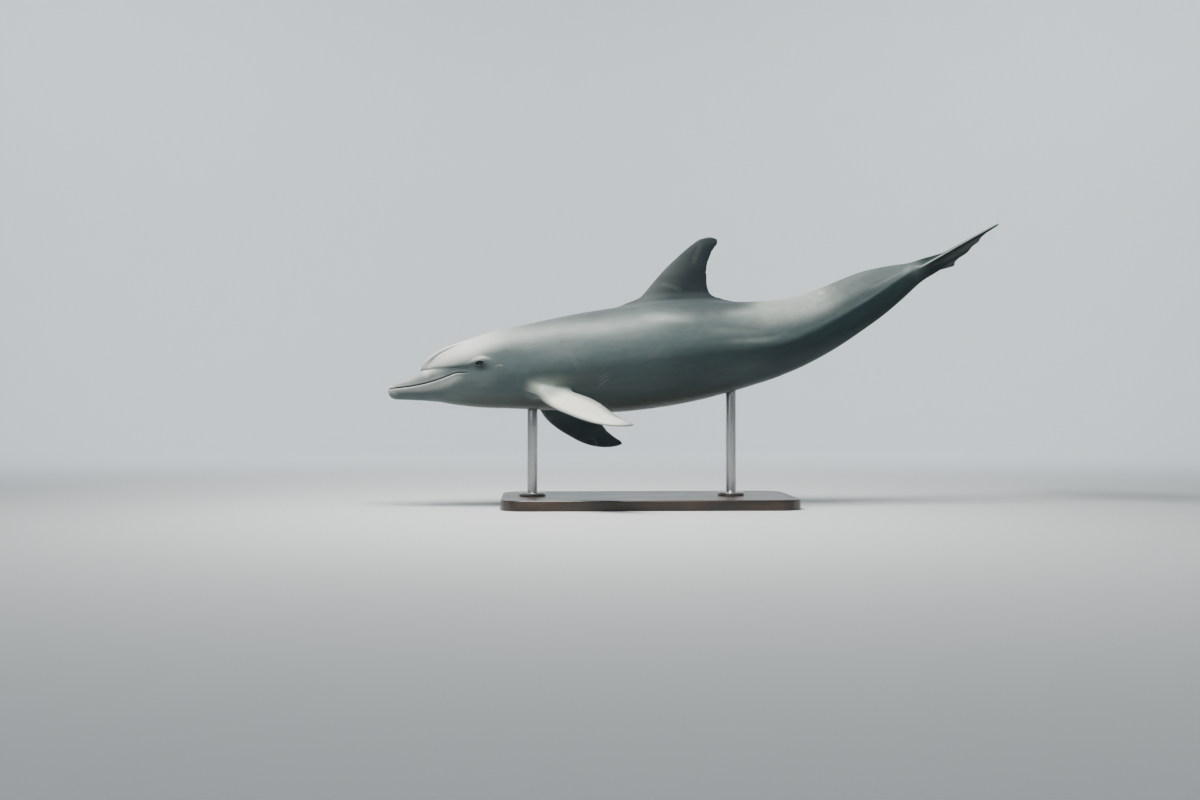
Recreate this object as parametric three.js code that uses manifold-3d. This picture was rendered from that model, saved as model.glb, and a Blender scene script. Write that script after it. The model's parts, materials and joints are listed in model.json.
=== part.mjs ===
// Bottlenose dolphin, a still life-size model held by two rods on a flat base.
// Millimetres, +Z up. The snout points to -X and the left side faces -Y.
// The origin is the centre of the underside of the base.
import * as THREE from "three";
import { mergeVertices } from "three/addons/utils/BufferGeometryUtils.js";
import Module from "manifold-3d";

const wasm = await Module();
wasm.setup();
const { Manifold, CrossSection, Mesh: Facets } = wasm;
const rad = THREE.MathUtils.degToRad;

// ---- driving sizes -------------------------------------------------------------
const LENGTH = 2441; // length of the middle line, from the snout to the rear of the flukes
const GAP = 0.3; // left between touching pieces
const BANK = 7; // the left side is raised by this much, degrees
const BANK_HEIGHT = 120; // height above the snout of the line the animal banks about
const TWIST = 3; // the tail rolls this much further than the trunk, degrees
const TWIST_FROM = 1500;
const SNOUT_X = -1010; // puts the centre of mass over the middle of the base
const SNOUT_Z = 445; // height of the snout tip over the floor, before banking
const NECK = 480; // where the head piece ends, along the body
const TAIL_FROM = 1600; // where the tail stock starts
const FLUKES_FROM = 2096; // where the flukes start
const BODY_END = 2388; // the body itself ends inside the flukes, at their notch
const MELON_END = 440; // the melon has melted into the head here
const TIP = 30; // the beak rounds off over this length
const EDGE = 1.5; // half thickness given to the edges of the fins

const BASE = { long: 1140, wide: 560, thick: 40, corner: 90, edge: 6 };
const ROD = {
  radius: 20,
  foot: 52,
  footHeight: 14,
  uncut: 700,
  at: { stand_rod_front: -450, stand_rod_rear: 330 },
};

// Sections of the body: distance from the snout, height above and below the middle
// line, and half width.
const SECTIONS = [
  [30, 25, 41, 28],
  [60, 27, 51, 32],
  [90, 27, 61, 36],
  [125, 37, 72, 42],
  [160, 44, 83, 53],
  [190, 50, 92, 66],
  [230, 61, 107, 82],
  [280, 86, 122, 98],
  [340, 120, 137, 109],
  [400, 143, 148, 117],
  [480, 156, 159, 131],
  [560, 164, 170, 150],
  [680, 180, 184, 170],
  [800, 194, 198, 184],
  [920, 202, 207, 191],
  [1050, 205, 205, 190],
  [1180, 199, 197, 176],
  [1310, 188, 180, 156],
  [1440, 169, 159, 131],
  [1570, 149, 142, 103],
  [1700, 132, 123, 77],
  [1830, 123, 106, 56],
  [1960, 108, 91, 40],
  [2070, 78, 70, 30],
  [2150, 50, 48, 26],
  [2230, 27, 27, 22],
  [2300, 15, 15, 18],
  [2360, 7, 7, 12],
  [2400, 3, 3, 6],
];
const column = (rows, i) => curve(rows.map((row) => [row[0], row[i]]));
const upper = column(SECTIONS, 1);
const lower = column(SECTIONS, 2);
const half = column(SECTIONS, 3);

// Slope of the middle line in degrees: the snout is low, the tail is on the upbeat.
const slope = curve([
  [0, 18], [90, 16], [190, 12], [310, 8.8], [480, 6.1], [680, 4.5], [800, 4.4],
  [1050, 6.6], [1310, 6.5], [1440, 10.7], [1570, 16.1], [1700, 22.3], [1830, 28],
  [1960, 29.4], [2070, 28], [2150, 25.3], [LENGTH, 24],
]);
// Squareness of a section: 2 is an ellipse, less is a keel.
const fullness = curve([
  [0, 2.2], [150, 2.3], [470, 2.1], [1000, 2.1], [1400, 2], [1700, 1.82], [1960, 1.7], [2200, 1.8],
]);

// The melon is a second, narrower dome that stands out of the base of the beak:
// distance from the snout, height, half width.
const MELON = [
  [134, 26, 7],
  [146, 54, 15],
  [160, 71, 30],
  [175, 84, 43],
  [190, 92, 53],
  [210, 101, 67],
  [230, 108, 79],
  [280, 120.5, 96],
  [340, 131, 108],
  [400, 143.5, 117],
  [440, 151, 123],
];
const melonHeight = column(MELON, 1);
const melonHalf = column(MELON, 2);
const melonFullness = curve([[134, 2.25], [300, 2.25], [400, 2.12], [MELON_END, 2.1]]);

// Lines in side view, in millimetres from the snout tip.
const MOUTH = [
  [-30, 7], [13, 10], [60, 14], [127, 23.5], [205, 41], [236, 51], [262, 60], [284, 63], [308, 61.5],
];
const THROAT = [[334, 34], [344, -8], [336, -60], [318, -130]];
const CREASE = [[60, 190], [114, 110], [127, 89], [155, 89], [189, 87], [236, 82]];
const BROW = [[262, 104], [300, 160], [326, 230], [340, 300]];

// The eyes are flattened balls that look a little forwards and down.
const EYE = { x: 361, y: 105, z: 97, long: 16, deep: 9, high: 10, pitch: -9, lean: 14 };
const BLOWHOLE = { at: 384, radius: 16, width: 4, deep: 9, sweep: 100 };

// ---- curves ----------------------------------------------------------------------
// A smooth curve through [where, value] rows that never overshoots its rows.
function curve(rows) {
  const x = rows.map((r) => r[0]);
  const y = rows.map((r) => r[1]);
  const last = x.length - 1;
  const gap = x.slice(1).map((v, i) => v - x[i]);
  const rise = gap.map((h, i) => (y[i + 1] - y[i]) / h);
  const tangent = y.map((_, i) => {
    if (i === 0) return rise[0];
    if (i === last) return rise[last - 1];
    if (rise[i - 1] * rise[i] <= 0) return 0;
    const a = 2 * gap[i] + gap[i - 1];
    const b = gap[i] + 2 * gap[i - 1];
    return (a + b) / (a / rise[i - 1] + b / rise[i]);
  });
  return (at) => {
    let i = 0;
    while (i < last - 1 && at >= x[i + 1]) i++;
    const t = Math.min(1, Math.max(0, (at - x[i]) / gap[i]));
    const s = 1 - t;
    return (
      y[i] * (1 + 2 * t) * s * s +
      gap[i] * tangent[i] * t * s * s +
      y[i + 1] * t * t * (3 - 2 * t) -
      gap[i] * tangent[i + 1] * t * t * s
    );
  };
}
const smooth = (from, to, v) => THREE.MathUtils.smoothstep(v, from, to);
function steps(from, to, count) {
  return Array.from({ length: count + 1 }, (_, i) => from + ((to - from) * i) / count);
}
// Directions all round a section, the last one short of the first.
const allRound = (count) => steps(0, 2 * Math.PI, count).slice(0, -1);

// ---- body surface ------------------------------------------------------------------
// The middle line, walked once in 1 mm steps.
const middle = [{ x: 0, z: 0 }];
for (let at = 0; at < LENGTH; at++) {
  const a = rad(slope(at + 0.5));
  middle.push({ x: middle[at].x + Math.cos(a), z: middle[at].z + Math.sin(a) });
}
function middleAt(at) {
  const i = Math.min(LENGTH - 1, Math.floor(at));
  const t = at - i;
  const [p, q] = [middle[i], middle[i + 1]];
  return { x: p.x + (q.x - p.x) * t, z: p.z + (q.z - p.z) * t, slope: rad(slope(at)) };
}
const rollAt = (at) => rad(TWIST) * smooth(TWIST_FROM, FLUKES_FROM + 60, at);

// Distance from the middle line to the skin, in the direction "turn" of a section.
function reach(at, turn) {
  const c = Math.abs(Math.cos(turn));
  const s = Math.abs(Math.sin(turn));
  const tip = Math.min(1, Math.max(1e-4, at / TIP));
  const above = Math.sin(turn) >= 0;
  const wide = half(at) * Math.sqrt(1 - (1 - tip) ** 2);
  const high = above ? upper(at) * tip ** 0.75 : lower(at) * tip ** 0.27;
  const round = (w, h, e) => ((c / w) ** e + (s / h) ** e) ** (-1 / e);
  const body = round(wide, high, fullness(at));
  if (!above || at <= MELON[0][0] || at >= MELON_END) return body;
  const melon = round(melonHalf(at), melonHeight(at), melonFullness(at));
  return Math.max(body, melon);
}

// A point of the skin, or of the skin moved outwards by "grow".
function skin(at, turn, grow = 0) {
  const m = middleAt(at);
  const r = reach(at, turn) + grow;
  const roll = rollAt(at);
  const side = r * Math.cos(turn);
  const rise = r * Math.sin(turn);
  const y = side * Math.cos(roll) + rise * Math.sin(roll);
  const up = rise * Math.cos(roll) - side * Math.sin(roll);
  return [m.x - up * Math.sin(m.slope), y, m.z + up * Math.cos(m.slope)];
}

// ---- solids --------------------------------------------------------------------------
function facets(positions, triangles) {
  const vertProperties = new Float32Array(positions);
  const mesh = (list) => new Facets({ numProp: 3, vertProperties, triVerts: new Uint32Array(list) });
  const made = new Manifold(mesh(triangles));
  if (made.volume() > 0) return made;
  // The faces were listed the wrong way round, so each is turned over.
  const turned = [];
  for (let i = 0; i < triangles.length; i += 3) {
    turned.push(triangles[i], triangles[i + 2], triangles[i + 1]);
  }
  return new Manifold(mesh(turned));
}

// A closed solid through rings of points; a ring of one point is a pole.
function loft(rings) {
  const positions = [];
  const start = rings.map((ring) => {
    const first = positions.length / 3;
    ring.forEach((p) => positions.push(...p));
    return first;
  });
  const triangles = [];
  const cap = (r, forward) => {
    const ring = rings[r];
    if (ring.length === 1) return;
    const hub = positions.length / 3;
    positions.push(...[0, 1, 2].map((k) => ring.reduce((sum, p) => sum + p[k], 0) / ring.length));
    ring.forEach((_, i) => {
      const [a, b] = [start[r] + i, start[r] + ((i + 1) % ring.length)];
      triangles.push(...(forward ? [hub, a, b] : [hub, b, a]));
    });
  };
  for (let r = 0; r + 1 < rings.length; r++) {
    const [one, two] = [rings[r], rings[r + 1]];
    const count = Math.max(one.length, two.length);
    for (let i = 0; i < count; i++) {
      const j = (i + 1) % count;
      const a = start[r] + (one.length > 1 ? i : 0);
      const b = start[r] + (one.length > 1 ? j : 0);
      const c = start[r + 1] + (two.length > 1 ? j : 0);
      const d = start[r + 1] + (two.length > 1 ? i : 0);
      if (a !== b) triangles.push(a, b, c);
      if (c !== d) triangles.push(a, c, d);
    }
  }
  cap(0, false);
  cap(rings.length - 1, true);
  return facets(positions, triangles);
}

// Turns a three.js geometry into a solid for joins and cuts.
function solid(geometry) {
  const bare = geometry.clone();
  bare.deleteAttribute("normal");
  bare.deleteAttribute("uv");
  const merged = mergeVertices(bare, 1e-4);
  const index = [...merged.index.array];
  const kept = [];
  for (let i = 0; i < index.length; i += 3) {
    const [a, b, c] = index.slice(i, i + 3);
    if (a !== b && b !== c && c !== a) kept.push(a, b, c);
  }
  return facets([...merged.attributes.position.array], kept);
}

// The body between two sections; "around" points are laid on each ring.
function body(stations, around, grow = 0) {
  const section = (at) => {
    if (at <= 0) return [[-grow, 0, 0]];
    return allRound(around).map((turn) => skin(at, turn, grow));
  };
  return loft(stations.map(section));
}

// A region of the side view, widened or narrowed by "grow", as a slab across the body.
function slab(outline, grow) {
  const flat = new CrossSection([outline], "EvenOdd");
  const sized = grow ? flat.offset(grow, "Miter", 2) : flat;
  return sized.extrude(500).translate([0, 0, -250]).rotate([90, 0, 0]);
}

// ---- fins ------------------------------------------------------------------------------
// The section of a fin is the classic four-digit wing section: its half thickness at
// the share c of the chord, for a thickness of 1.
function foil(c) {
  return 5 * (0.2969 * Math.sqrt(c) - 0.126 * c - 0.3516 * c ** 2 + 0.2843 * c ** 3 - 0.1036 * c ** 4);
}

// rows: span, leading edge, trailing edge, thickness. The frame of the fin is an origin,
// a span direction and a chord direction. Its tip rounds off over the last CLOSING of the
// span, and the rings crowd towards the tip by the power CROWD.
const CLOSING = 0.04;
const CROWD = 1.7;
function fin(rows, { origin, span, chord, around = 20, count = 15 }) {
  const lead = column(rows, 1);
  const trail = column(rows, 2);
  const thick = column(rows, 3);
  const s = new THREE.Vector3(...span).normalize();
  const c = new THREE.Vector3(...chord);
  c.addScaledVector(s, -c.dot(s)).normalize();
  const n = new THREE.Vector3().crossVectors(s, c);
  const o = new THREE.Vector3(...origin);
  const [first, last] = [rows[0][0], rows[rows.length - 1][0]];
  const rings = steps(0, 1, count).map((u) => {
    const b = first + (last - first) * (1 - (1 - u) ** CROWD);
    const left = (last - b) / (CLOSING * last);
    const close = left >= 1 ? 1 : Math.sqrt(1 - (1 - left) ** 2);
    const centre = (lead(b) + trail(b)) / 2;
    const halfChord = ((trail(b) - lead(b)) / 2) * close;
    const root = o.clone().addScaledVector(s, b).addScaledVector(c, centre);
    if (halfChord < 1e-3) return [root.toArray()];
    return allRound(around).map((turn) => {
      const across = (1 - Math.cos(turn)) / 2;
      const side = Math.sin(turn);
      const onEdge = Math.abs(side) < 1e-6;
      const height = onEdge ? 0 : (foil(across) * thick(b) * Math.sign(side) + EDGE * side) * close;
      const p = root.clone().addScaledVector(c, halfChord * (2 * across - 1));
      return p.addScaledVector(n, height).toArray();
    });
  });
  return loft(rings);
}

// Rows of the fins: span, leading edge, trailing edge, thickness.
const FLIPPER = [
  [-70, -48, 26, 50],
  [-10, -58, 30, 46],
  [40, -77, 36, 36],
  [90, -88, 41, 30],
  [150, -93, 46, 25],
  [220, -93, 37, 21],
  [280, -87, 18, 17],
  [330, -73, 4, 13],
  [375, -51, -1, 10],
  [405, -28, -2, 8],
  [419, -12, -5, 7],
];
const DORSAL = [
  [-60, 880, 1350, 60],
  [0, 950, 1320, 52],
  [20, 981, 1286, 46],
  [45, 1003, 1259, 41],
  [90, 1040, 1249, 34],
  [140, 1084, 1249, 28],
  [190, 1136, 1262, 22],
  [225, 1175, 1279, 18],
  [248, 1204, 1294, 14],
  [262, 1226, 1293, 11],
  [270, 1246, 1283, 9],
];
const FLUKE = [
  [-20, 20, 276, 40],
  [0, 0, 286, 48],
  [18, 16, 306, 42],
  [35, 48, 317, 36],
  [60, 80, 321, 30],
  [100, 118, 312, 24],
  [150, 165, 304, 18],
  [200, 213, 305, 14],
  [240, 257, 313, 11],
  [268, 292, 322, 9],
  [284, 315, 328, 8],
  [290, 325, 331, 7],
];

// ---- the animal ------------------------------------------------------------------------
// Sections lie closest at the tip of the beak and at the foot of the melon.
const headStations = [
  0, 1, 4, 9, 17, 30, 46, 66, 88, 108, 124, 135, 143, 151, 160, 171, 185, 203, 225, 251, 282, 316,
  354, 396, 438, NECK,
];
const trunkStations = steps(NECK + GAP, TAIL_FROM, 16);
const stockStations = steps(TAIL_FROM + GAP, FLUKES_FROM, 9);
const endStations = steps(FLUKES_FROM + GAP, BODY_END, 7);
const grown = body([-1, ...steps(6, BODY_END, 90)], 30, GAP);

const wholeHead = body(headStations, 36);
const jawOutline = [...MOUTH, ...THROAT, [-30, -130]];
const melonOutline = [...CREASE, ...BROW, [60, 300]];
const beakOutline = [[-30, 190], ...CREASE, ...[...MOUTH].reverse()];
const pieces = {};
pieces.lower_jaw = wholeHead.intersect(slab(jawOutline, -GAP / 2));
pieces.melon = wholeHead.intersect(slab(melonOutline, -GAP / 2));
pieces.upper_beak = wholeHead.intersect(slab(beakOutline, -GAP / 2));

// A crescent slit, its ends toward the snout, that lies along the top of the head.
function blowhole() {
  const { at, radius, width, deep, sweep } = BLOWHOLE;
  const halfWidth = (a) => (width / 2) * Math.sqrt(1 - (a / (sweep + 1)) ** 2) + 0.2;
  const arc = (side) =>
    steps(-sweep, sweep, 14).map((a) => {
      const r = radius + side * halfWidth(a);
      return [r * Math.cos(rad(a)), r * Math.sin(rad(a))];
    });
  const top = (place) => skin(place, Math.PI / 2);
  const [x, y, z] = top(at);
  const [front, rear] = [top(at - radius), top(at + radius)];
  const tilt = Math.atan2(rear[2] - front[2], rear[0] - front[0]);
  return new CrossSection([[...arc(1), ...arc(-1).reverse()]], "EvenOdd")
    .extrude(3 * deep)
    .translate([-radius, 0, -deep])
    .rotate([0, THREE.MathUtils.radToDeg(-tilt), 0])
    .translate([x, y, z]);
}
const eyeball = (side, grow) =>
  solid(
    new THREE.SphereGeometry(1, 16, 8)
      .rotateX(Math.PI / 2)
      .scale(EYE.long + grow, EYE.deep + grow, EYE.high + grow)
      .rotateY(rad(EYE.pitch))
      .rotateZ(rad(side * EYE.lean))
      .translate(EYE.x, side * EYE.y, EYE.z),
  );
const headCuts = [
  slab(jawOutline, GAP / 2),
  slab(melonOutline, GAP / 2),
  slab(beakOutline, GAP / 2),
  blowhole(),
  eyeball(-1, GAP),
  eyeball(1, GAP),
];
pieces.head = headCuts.reduce((left, tool) => left.subtract(tool), wholeHead);
pieces.eye_left = eyeball(-1, 0);
pieces.eye_right = eyeball(1, 0);
pieces.trunk = body(trunkStations, 30);
pieces.tail_stock = body(stockStations, 26);

const trunkGrown = body(trunkStations, 30, GAP);
const upright = { origin: [0, 0, 351], span: [0, 0, 1], chord: [1, 0, 0], around: 22 };
pieces.dorsal_fin = fin(DORSAL, upright).subtract(trunkGrown);
// The right flipper is turned a little further about its own length than the left one.
const flippers = [
  { name: "flipper_left", side: -1, chord: [0.67, 0.57, 0.48] },
  { name: "flipper_right", side: 1, chord: [0.6, -0.31, 0.74] },
];
for (const { name, side, chord } of flippers) {
  const frame = {
    origin: [626, side * 126, -9],
    span: [308, side * 234, -153],
    chord,
    count: 14,
  };
  pieces[name] = fin(FLIPPER, frame).subtract(trunkGrown);
}

const FLUKE_ROOT = 2110;
const FLUKE_LIFT = 6; // the flukes lie this much above the middle line
const FLUKE_SLOPE = rad(24);
const tailEnd = middleAt(FLUKE_ROOT);
const roll = rollAt(LENGTH);
const blade = (side) =>
  fin(FLUKE, {
    origin: [tailEnd.x, 0, tailEnd.z + FLUKE_LIFT],
    span: [0, side * Math.cos(roll), -side * Math.sin(roll)],
    chord: [Math.cos(FLUKE_SLOPE), 0, Math.sin(FLUKE_SLOPE)],
    around: 18,
    count: 12,
  });
const flukes = body(endStations, 24).add(blade(-1)).add(blade(1));
// All that lies on one side of the animal's middle plane, short of the gap.
function halfSpace(side) {
  const [long, wide] = [1200, 600];
  return Manifold.cube([long, wide, long], true).translate([tailEnd.x, (side * (wide + GAP)) / 2, tailEnd.z]);
}
pieces.fluke_left = flukes.intersect(halfSpace(-1));
pieces.fluke_right = flukes.intersect(halfSpace(1));

// Banks the animal and lifts it over the base.
const place = (piece) =>
  piece
    .translate([0, 0, -BANK_HEIGHT])
    .rotate([-BANK, 0, 0])
    .translate([SNOUT_X, 0, SNOUT_Z + BANK_HEIGHT]);

// ---- the stand -----------------------------------------------------------------------
function basePlate() {
  const { long, wide, thick, corner, edge } = BASE;
  const [x, y] = [long / 2 - edge, wide / 2 - edge];
  const shape = new THREE.Shape();
  const r = corner - edge;
  shape.moveTo(-x + r, -y).lineTo(x - r, -y).absarc(x - r, -y + r, r, -Math.PI / 2, 0);
  shape.lineTo(x, y - r).absarc(x - r, y - r, r, 0, Math.PI / 2);
  shape.lineTo(-x + r, y).absarc(-x + r, y - r, r, Math.PI / 2, Math.PI);
  shape.lineTo(-x, -y + r).absarc(-x + r, -y + r, r, Math.PI, 1.5 * Math.PI);
  const bevel = { bevelThickness: edge, bevelSize: edge, bevelSegments: 1 };
  const depth = thick - 2 * edge;
  return new THREE.ExtrudeGeometry(shape, { depth, curveSegments: 5, ...bevel }).translate(0, 0, edge);
}
// A rod on a round foot, long enough to reach into the animal.
function rod() {
  const { radius, foot, footHeight, uncut } = ROD;
  const profile = [
    [0, 0], [foot, 0], [foot, footHeight - 3], [foot - 3, footHeight], [radius + 6, footHeight + 1],
    [radius, footHeight + 7], [radius, uncut], [0, uncut],
  ];
  const points = profile.map(([r, z]) => new THREE.Vector2(r, z));
  return new THREE.LatheGeometry(points, 28).rotateX(Math.PI / 2);
}
const placedBody = place(grown);
const lowest = (piece) => piece.boundingBox().min[2];
const stand = { stand_base: solid(basePlate()) };
for (const [name, x] of Object.entries(ROD.at)) {
  const uncutRod = solid(rod()).translate([x, 0, BASE.thick + GAP]);
  const cut = uncutRod.subtract(placedBody).decompose();
  stand[name] = cut.sort((a, b) => lowest(a) - lowest(b))[0];
}

// ---- the group -----------------------------------------------------------------------
const LOOKS = {
  skin: { color: 0x7e8f93, roughness: 0.42 },
  eye: { color: 0x1a1310, roughness: 0.08 },
  stand_base: { color: 0x2a2c2e, roughness: 0.5 },
  stand_rod: { color: 0xb9bcc0, roughness: 0.28, metalness: 1 },
};
const group = new THREE.Group();
group.name = "bottlenose_dolphin";
function show(name, piece) {
  const kind = ["eye", "stand_base", "stand_rod"].find((start) => name.startsWith(start)) ?? "skin";
  const { vertProperties, triVerts, numProp } = piece.getMesh();
  const at = new Float32Array((vertProperties.length / numProp) * 3);
  for (let i = 0; i < at.length / 3; i++) {
    at.set(vertProperties.subarray(i * numProp, i * numProp + 3), i * 3);
  }
  const geometry = new THREE.BufferGeometry();
  geometry.setAttribute("position", new THREE.BufferAttribute(at, 3));
  geometry.setIndex(new THREE.BufferAttribute(Uint32Array.from(triVerts), 1));
  geometry.computeVertexNormals();
  const mesh = new THREE.Mesh(geometry, new THREE.MeshStandardMaterial(LOOKS[kind]));
  mesh.name = name;
  group.add(mesh);
}
for (const [name, piece] of Object.entries(pieces)) show(name, place(piece));
for (const [name, piece] of Object.entries(stand)) show(name, piece);

export default group;
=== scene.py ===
# %% [markdown]
# # A life-size bottlenose dolphin on its display stand
# A museum dolphin is cast in glass fibre from a clay sculpture, then painted in thin satin
# coats, and its glass eyes are set from inside. This lesson makes the same thing in Blender:
# one closed skin with fins that grow out of it, two eyeballs, and a board with two rods.
# The plain solids of the model give every size. We load them first. Nothing that follows may
# leave it.

import json
import math

import bpy
import numpy as np
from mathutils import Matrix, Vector
from mathutils.bvhtree import BVHTree

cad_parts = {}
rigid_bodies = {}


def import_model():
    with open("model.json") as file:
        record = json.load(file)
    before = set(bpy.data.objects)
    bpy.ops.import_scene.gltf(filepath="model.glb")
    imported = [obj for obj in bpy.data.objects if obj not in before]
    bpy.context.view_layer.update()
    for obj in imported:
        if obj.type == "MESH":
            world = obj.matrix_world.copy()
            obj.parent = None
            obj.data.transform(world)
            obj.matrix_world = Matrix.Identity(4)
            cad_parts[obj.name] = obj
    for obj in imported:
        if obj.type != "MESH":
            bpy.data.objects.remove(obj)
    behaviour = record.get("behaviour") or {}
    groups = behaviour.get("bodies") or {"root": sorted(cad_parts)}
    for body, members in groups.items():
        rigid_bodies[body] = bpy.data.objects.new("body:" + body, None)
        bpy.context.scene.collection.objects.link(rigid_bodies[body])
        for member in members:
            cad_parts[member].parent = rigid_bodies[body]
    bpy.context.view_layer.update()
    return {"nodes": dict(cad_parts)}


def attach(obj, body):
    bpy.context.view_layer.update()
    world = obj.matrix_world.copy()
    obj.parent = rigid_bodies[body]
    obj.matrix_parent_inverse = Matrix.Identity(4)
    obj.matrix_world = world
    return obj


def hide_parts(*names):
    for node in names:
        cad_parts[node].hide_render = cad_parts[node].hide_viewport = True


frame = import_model()
MM = 0.001
print("solids:", ", ".join(sorted(frame["nodes"])))

# %% [markdown]
# ## Tools for curves
# A sculptor checks a body against a few card sections and lets the eye fair the rest.
# We do the same: a handful of rows, and a curve through them that never overshoots. A
# Bezier curve object would do too, but a function is easier to ask for any place we like.

# %% A smooth curve through rows
def curve(rows):
    where, value = np.array(rows, float).T
    gap = np.diff(where)
    rise = np.diff(value) / gap
    tangent = np.zeros_like(value)
    tangent[0], tangent[-1] = rise[0], rise[-1]
    for i in range(1, len(where) - 1):
        if rise[i - 1] * rise[i] > 0:
            a, b = 2 * gap[i] + gap[i - 1], gap[i] + 2 * gap[i - 1]
            tangent[i] = (a + b) / (a / rise[i - 1] + b / rise[i])

    def at(place):
        place = np.asarray(place, float)
        i = np.clip(np.searchsorted(where, place, side="right") - 1, 0, len(gap) - 1)
        t = np.clip((place - where[i]) / gap[i], 0, 1)
        s = 1 - t
        ends = value[i] * (1 + 2 * t) * s * s + value[i + 1] * t * t * (3 - 2 * t)
        return ends + gap[i] * (tangent[i] * t * s * s - tangent[i + 1] * t * t * s)

    return at


def ease(low, high, v):
    t = np.clip((np.asarray(v, float) - low) / (high - low), 0, 1)
    return t * t * (3 - 2 * t)


def window(v, rise_from, rise_to, fall_from, fall_to):
    return ease(rise_from, rise_to, v) * (1 - ease(fall_from, fall_to, v))


def hill(v, centre, width):
    return np.exp(-(((v - centre) / width) ** 2))


def lift_of(turn):
    """The angle over the horizon of a direction round the body, the same on both sides."""
    return np.arctan2(np.sin(turn), np.abs(np.cos(turn)))


def unit(v):
    return np.array(v, float) / np.linalg.norm(v)


print("halfway up a rise from 0 to 10:", float(curve([[0, 0], [5, 5], [10, 10]])(5)))

# %% [markdown]
# ## The body in sections
# A dolphin is a spindle: round in front, deepest before the dorsal fin, and pressed flat
# from side to side at the tail stock, which drives the flukes up and down. Each row is a
# distance from the snout in millimetres with the height above and below the middle line
# and the half width. The middle line itself rises towards the tail, which is at the top
# of its stroke.

# %% Sections and middle line
LENGTH = 2441
SECTIONS = np.array([
    [30, 25, 41, 28], [60, 27, 51, 32], [90, 27, 61, 36], [125, 37, 72, 42],
    [160, 44, 83, 53], [190, 50, 92, 66], [230, 61, 107, 82], [280, 86, 122, 98],
    [340, 120, 137, 109], [400, 143, 148, 117], [480, 156, 159, 131], [560, 164, 170, 150],
    [680, 180, 184, 170], [800, 194, 198, 184], [920, 202, 207, 191], [1050, 205, 205, 190],
    [1180, 199, 197, 176], [1310, 188, 180, 156], [1440, 169, 159, 131], [1570, 149, 142, 103],
    [1700, 132, 123, 77], [1830, 123, 106, 56], [1960, 108, 91, 40], [2070, 78, 70, 30],
    [2150, 50, 48, 26], [2230, 27, 27, 22], [2300, 15, 15, 18], [2360, 7, 7, 12],
    [2400, 3, 3, 6],
])
upper = curve(SECTIONS[:, [0, 1]])
lower = curve(SECTIONS[:, [0, 2]])
half = curve(SECTIONS[:, [0, 3]])
slope_degrees = curve([
    [0, 18], [90, 16], [190, 12], [310, 8.8], [480, 6.1], [680, 4.5], [800, 4.4],
    [1050, 6.6], [1310, 6.5], [1440, 10.7], [1570, 16.1], [1700, 22.3], [1830, 28],
    [1960, 29.4], [2070, 28], [2150, 25.3], [LENGTH, 24],
])
fullness = curve([
    [0, 2.2], [150, 2.3], [470, 2.1], [1000, 2.1], [1400, 2], [1700, 1.82], [1960, 1.7],
    [2200, 1.8],
])
walk = np.radians(slope_degrees(np.arange(LENGTH) + 0.5))
MIDDLE_X = np.concatenate([[0], np.cumsum(np.cos(walk))])
MIDDLE_Z = np.concatenate([[0], np.cumsum(np.sin(walk))])
TWIST, TWIST_FROM, FLUKES_FROM = math.radians(3), 1500, 2096


def middle(at):
    steps = np.arange(LENGTH + 1)
    x, z = np.interp(at, steps, MIDDLE_X), np.interp(at, steps, MIDDLE_Z)
    return x, z, np.radians(slope_degrees(at))


def roll_at(at):
    return TWIST * ease(TWIST_FROM, FLUKES_FROM + 60, at)


print("the tail ends", round(float(MIDDLE_Z[-1])), "mm higher than the snout")

# %% [markdown]
# ## The melon and the skin of the whole body
# The melon is the fatty dome of the forehead. On the real animal it sits on the beak with
# a sharp fold in front and melts into the cheeks further back. We make it a second,
# narrower dome and keep whichever surface lies outside, rounding the meeting slightly.

# %% Radius of the body in any direction
MELON = np.array([
    [134, 26, 7], [146, 54, 15], [160, 71, 30], [175, 84, 43], [190, 92, 53], [210, 101, 67],
    [230, 108, 79], [280, 120.5, 96], [340, 131, 108], [400, 143.5, 117], [440, 151, 123],
])
melon_height = curve(MELON[:, [0, 1]])
melon_half = curve(MELON[:, [0, 2]])
melon_fullness = curve([[134, 2.25], [300, 2.25], [400, 2.12], [440, 2.1]])
SNOUT_ROUND = 30  # the snout is rounded over this length


def rounded(turn, wide, high, power):
    c, s = np.abs(np.cos(turn)), np.abs(np.sin(turn))
    return ((c / wide) ** power + (s / high) ** power) ** (-1 / power)


def reaches(at, turn):
    """Distance from the middle line to the beak-and-body skin, and to the melon."""
    tip = np.clip(at / SNOUT_ROUND, 1e-4, 1)
    above = np.sin(turn) >= 0
    wide = half(at) * np.sqrt(1 - (1 - tip) ** 2)
    high = np.where(above, upper(at) * tip**0.75, lower(at) * tip**0.27)
    body = rounded(turn, wide, high, fullness(at))
    dome = rounded(turn, melon_half(at), melon_height(at), melon_fullness(at))
    return body, np.where(above & (at > MELON[0, 0]), dome, 0.0)


def reach(at, turn):
    body, dome = reaches(at, turn)
    dome = dome * (1 - ease(425, 520, at))
    soft = 0.3 + 4.7 * (1 - ease(190, 420, at))
    return np.maximum(body, dome) + np.maximum(soft - np.abs(body - dome), 0) ** 2 / (4 * soft)


def lay(at, turn, distance):
    """The point at a distance from the middle line, in millimetres."""
    x, z, slope = middle(at)
    roll = roll_at(at)
    side, rise = distance * np.cos(turn), distance * np.sin(turn)
    y = side * np.cos(roll) + rise * np.sin(roll)
    up = rise * np.cos(roll) - side * np.sin(roll)
    return np.stack([x - up * np.sin(slope), y, z + up * np.cos(slope)], -1)


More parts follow.
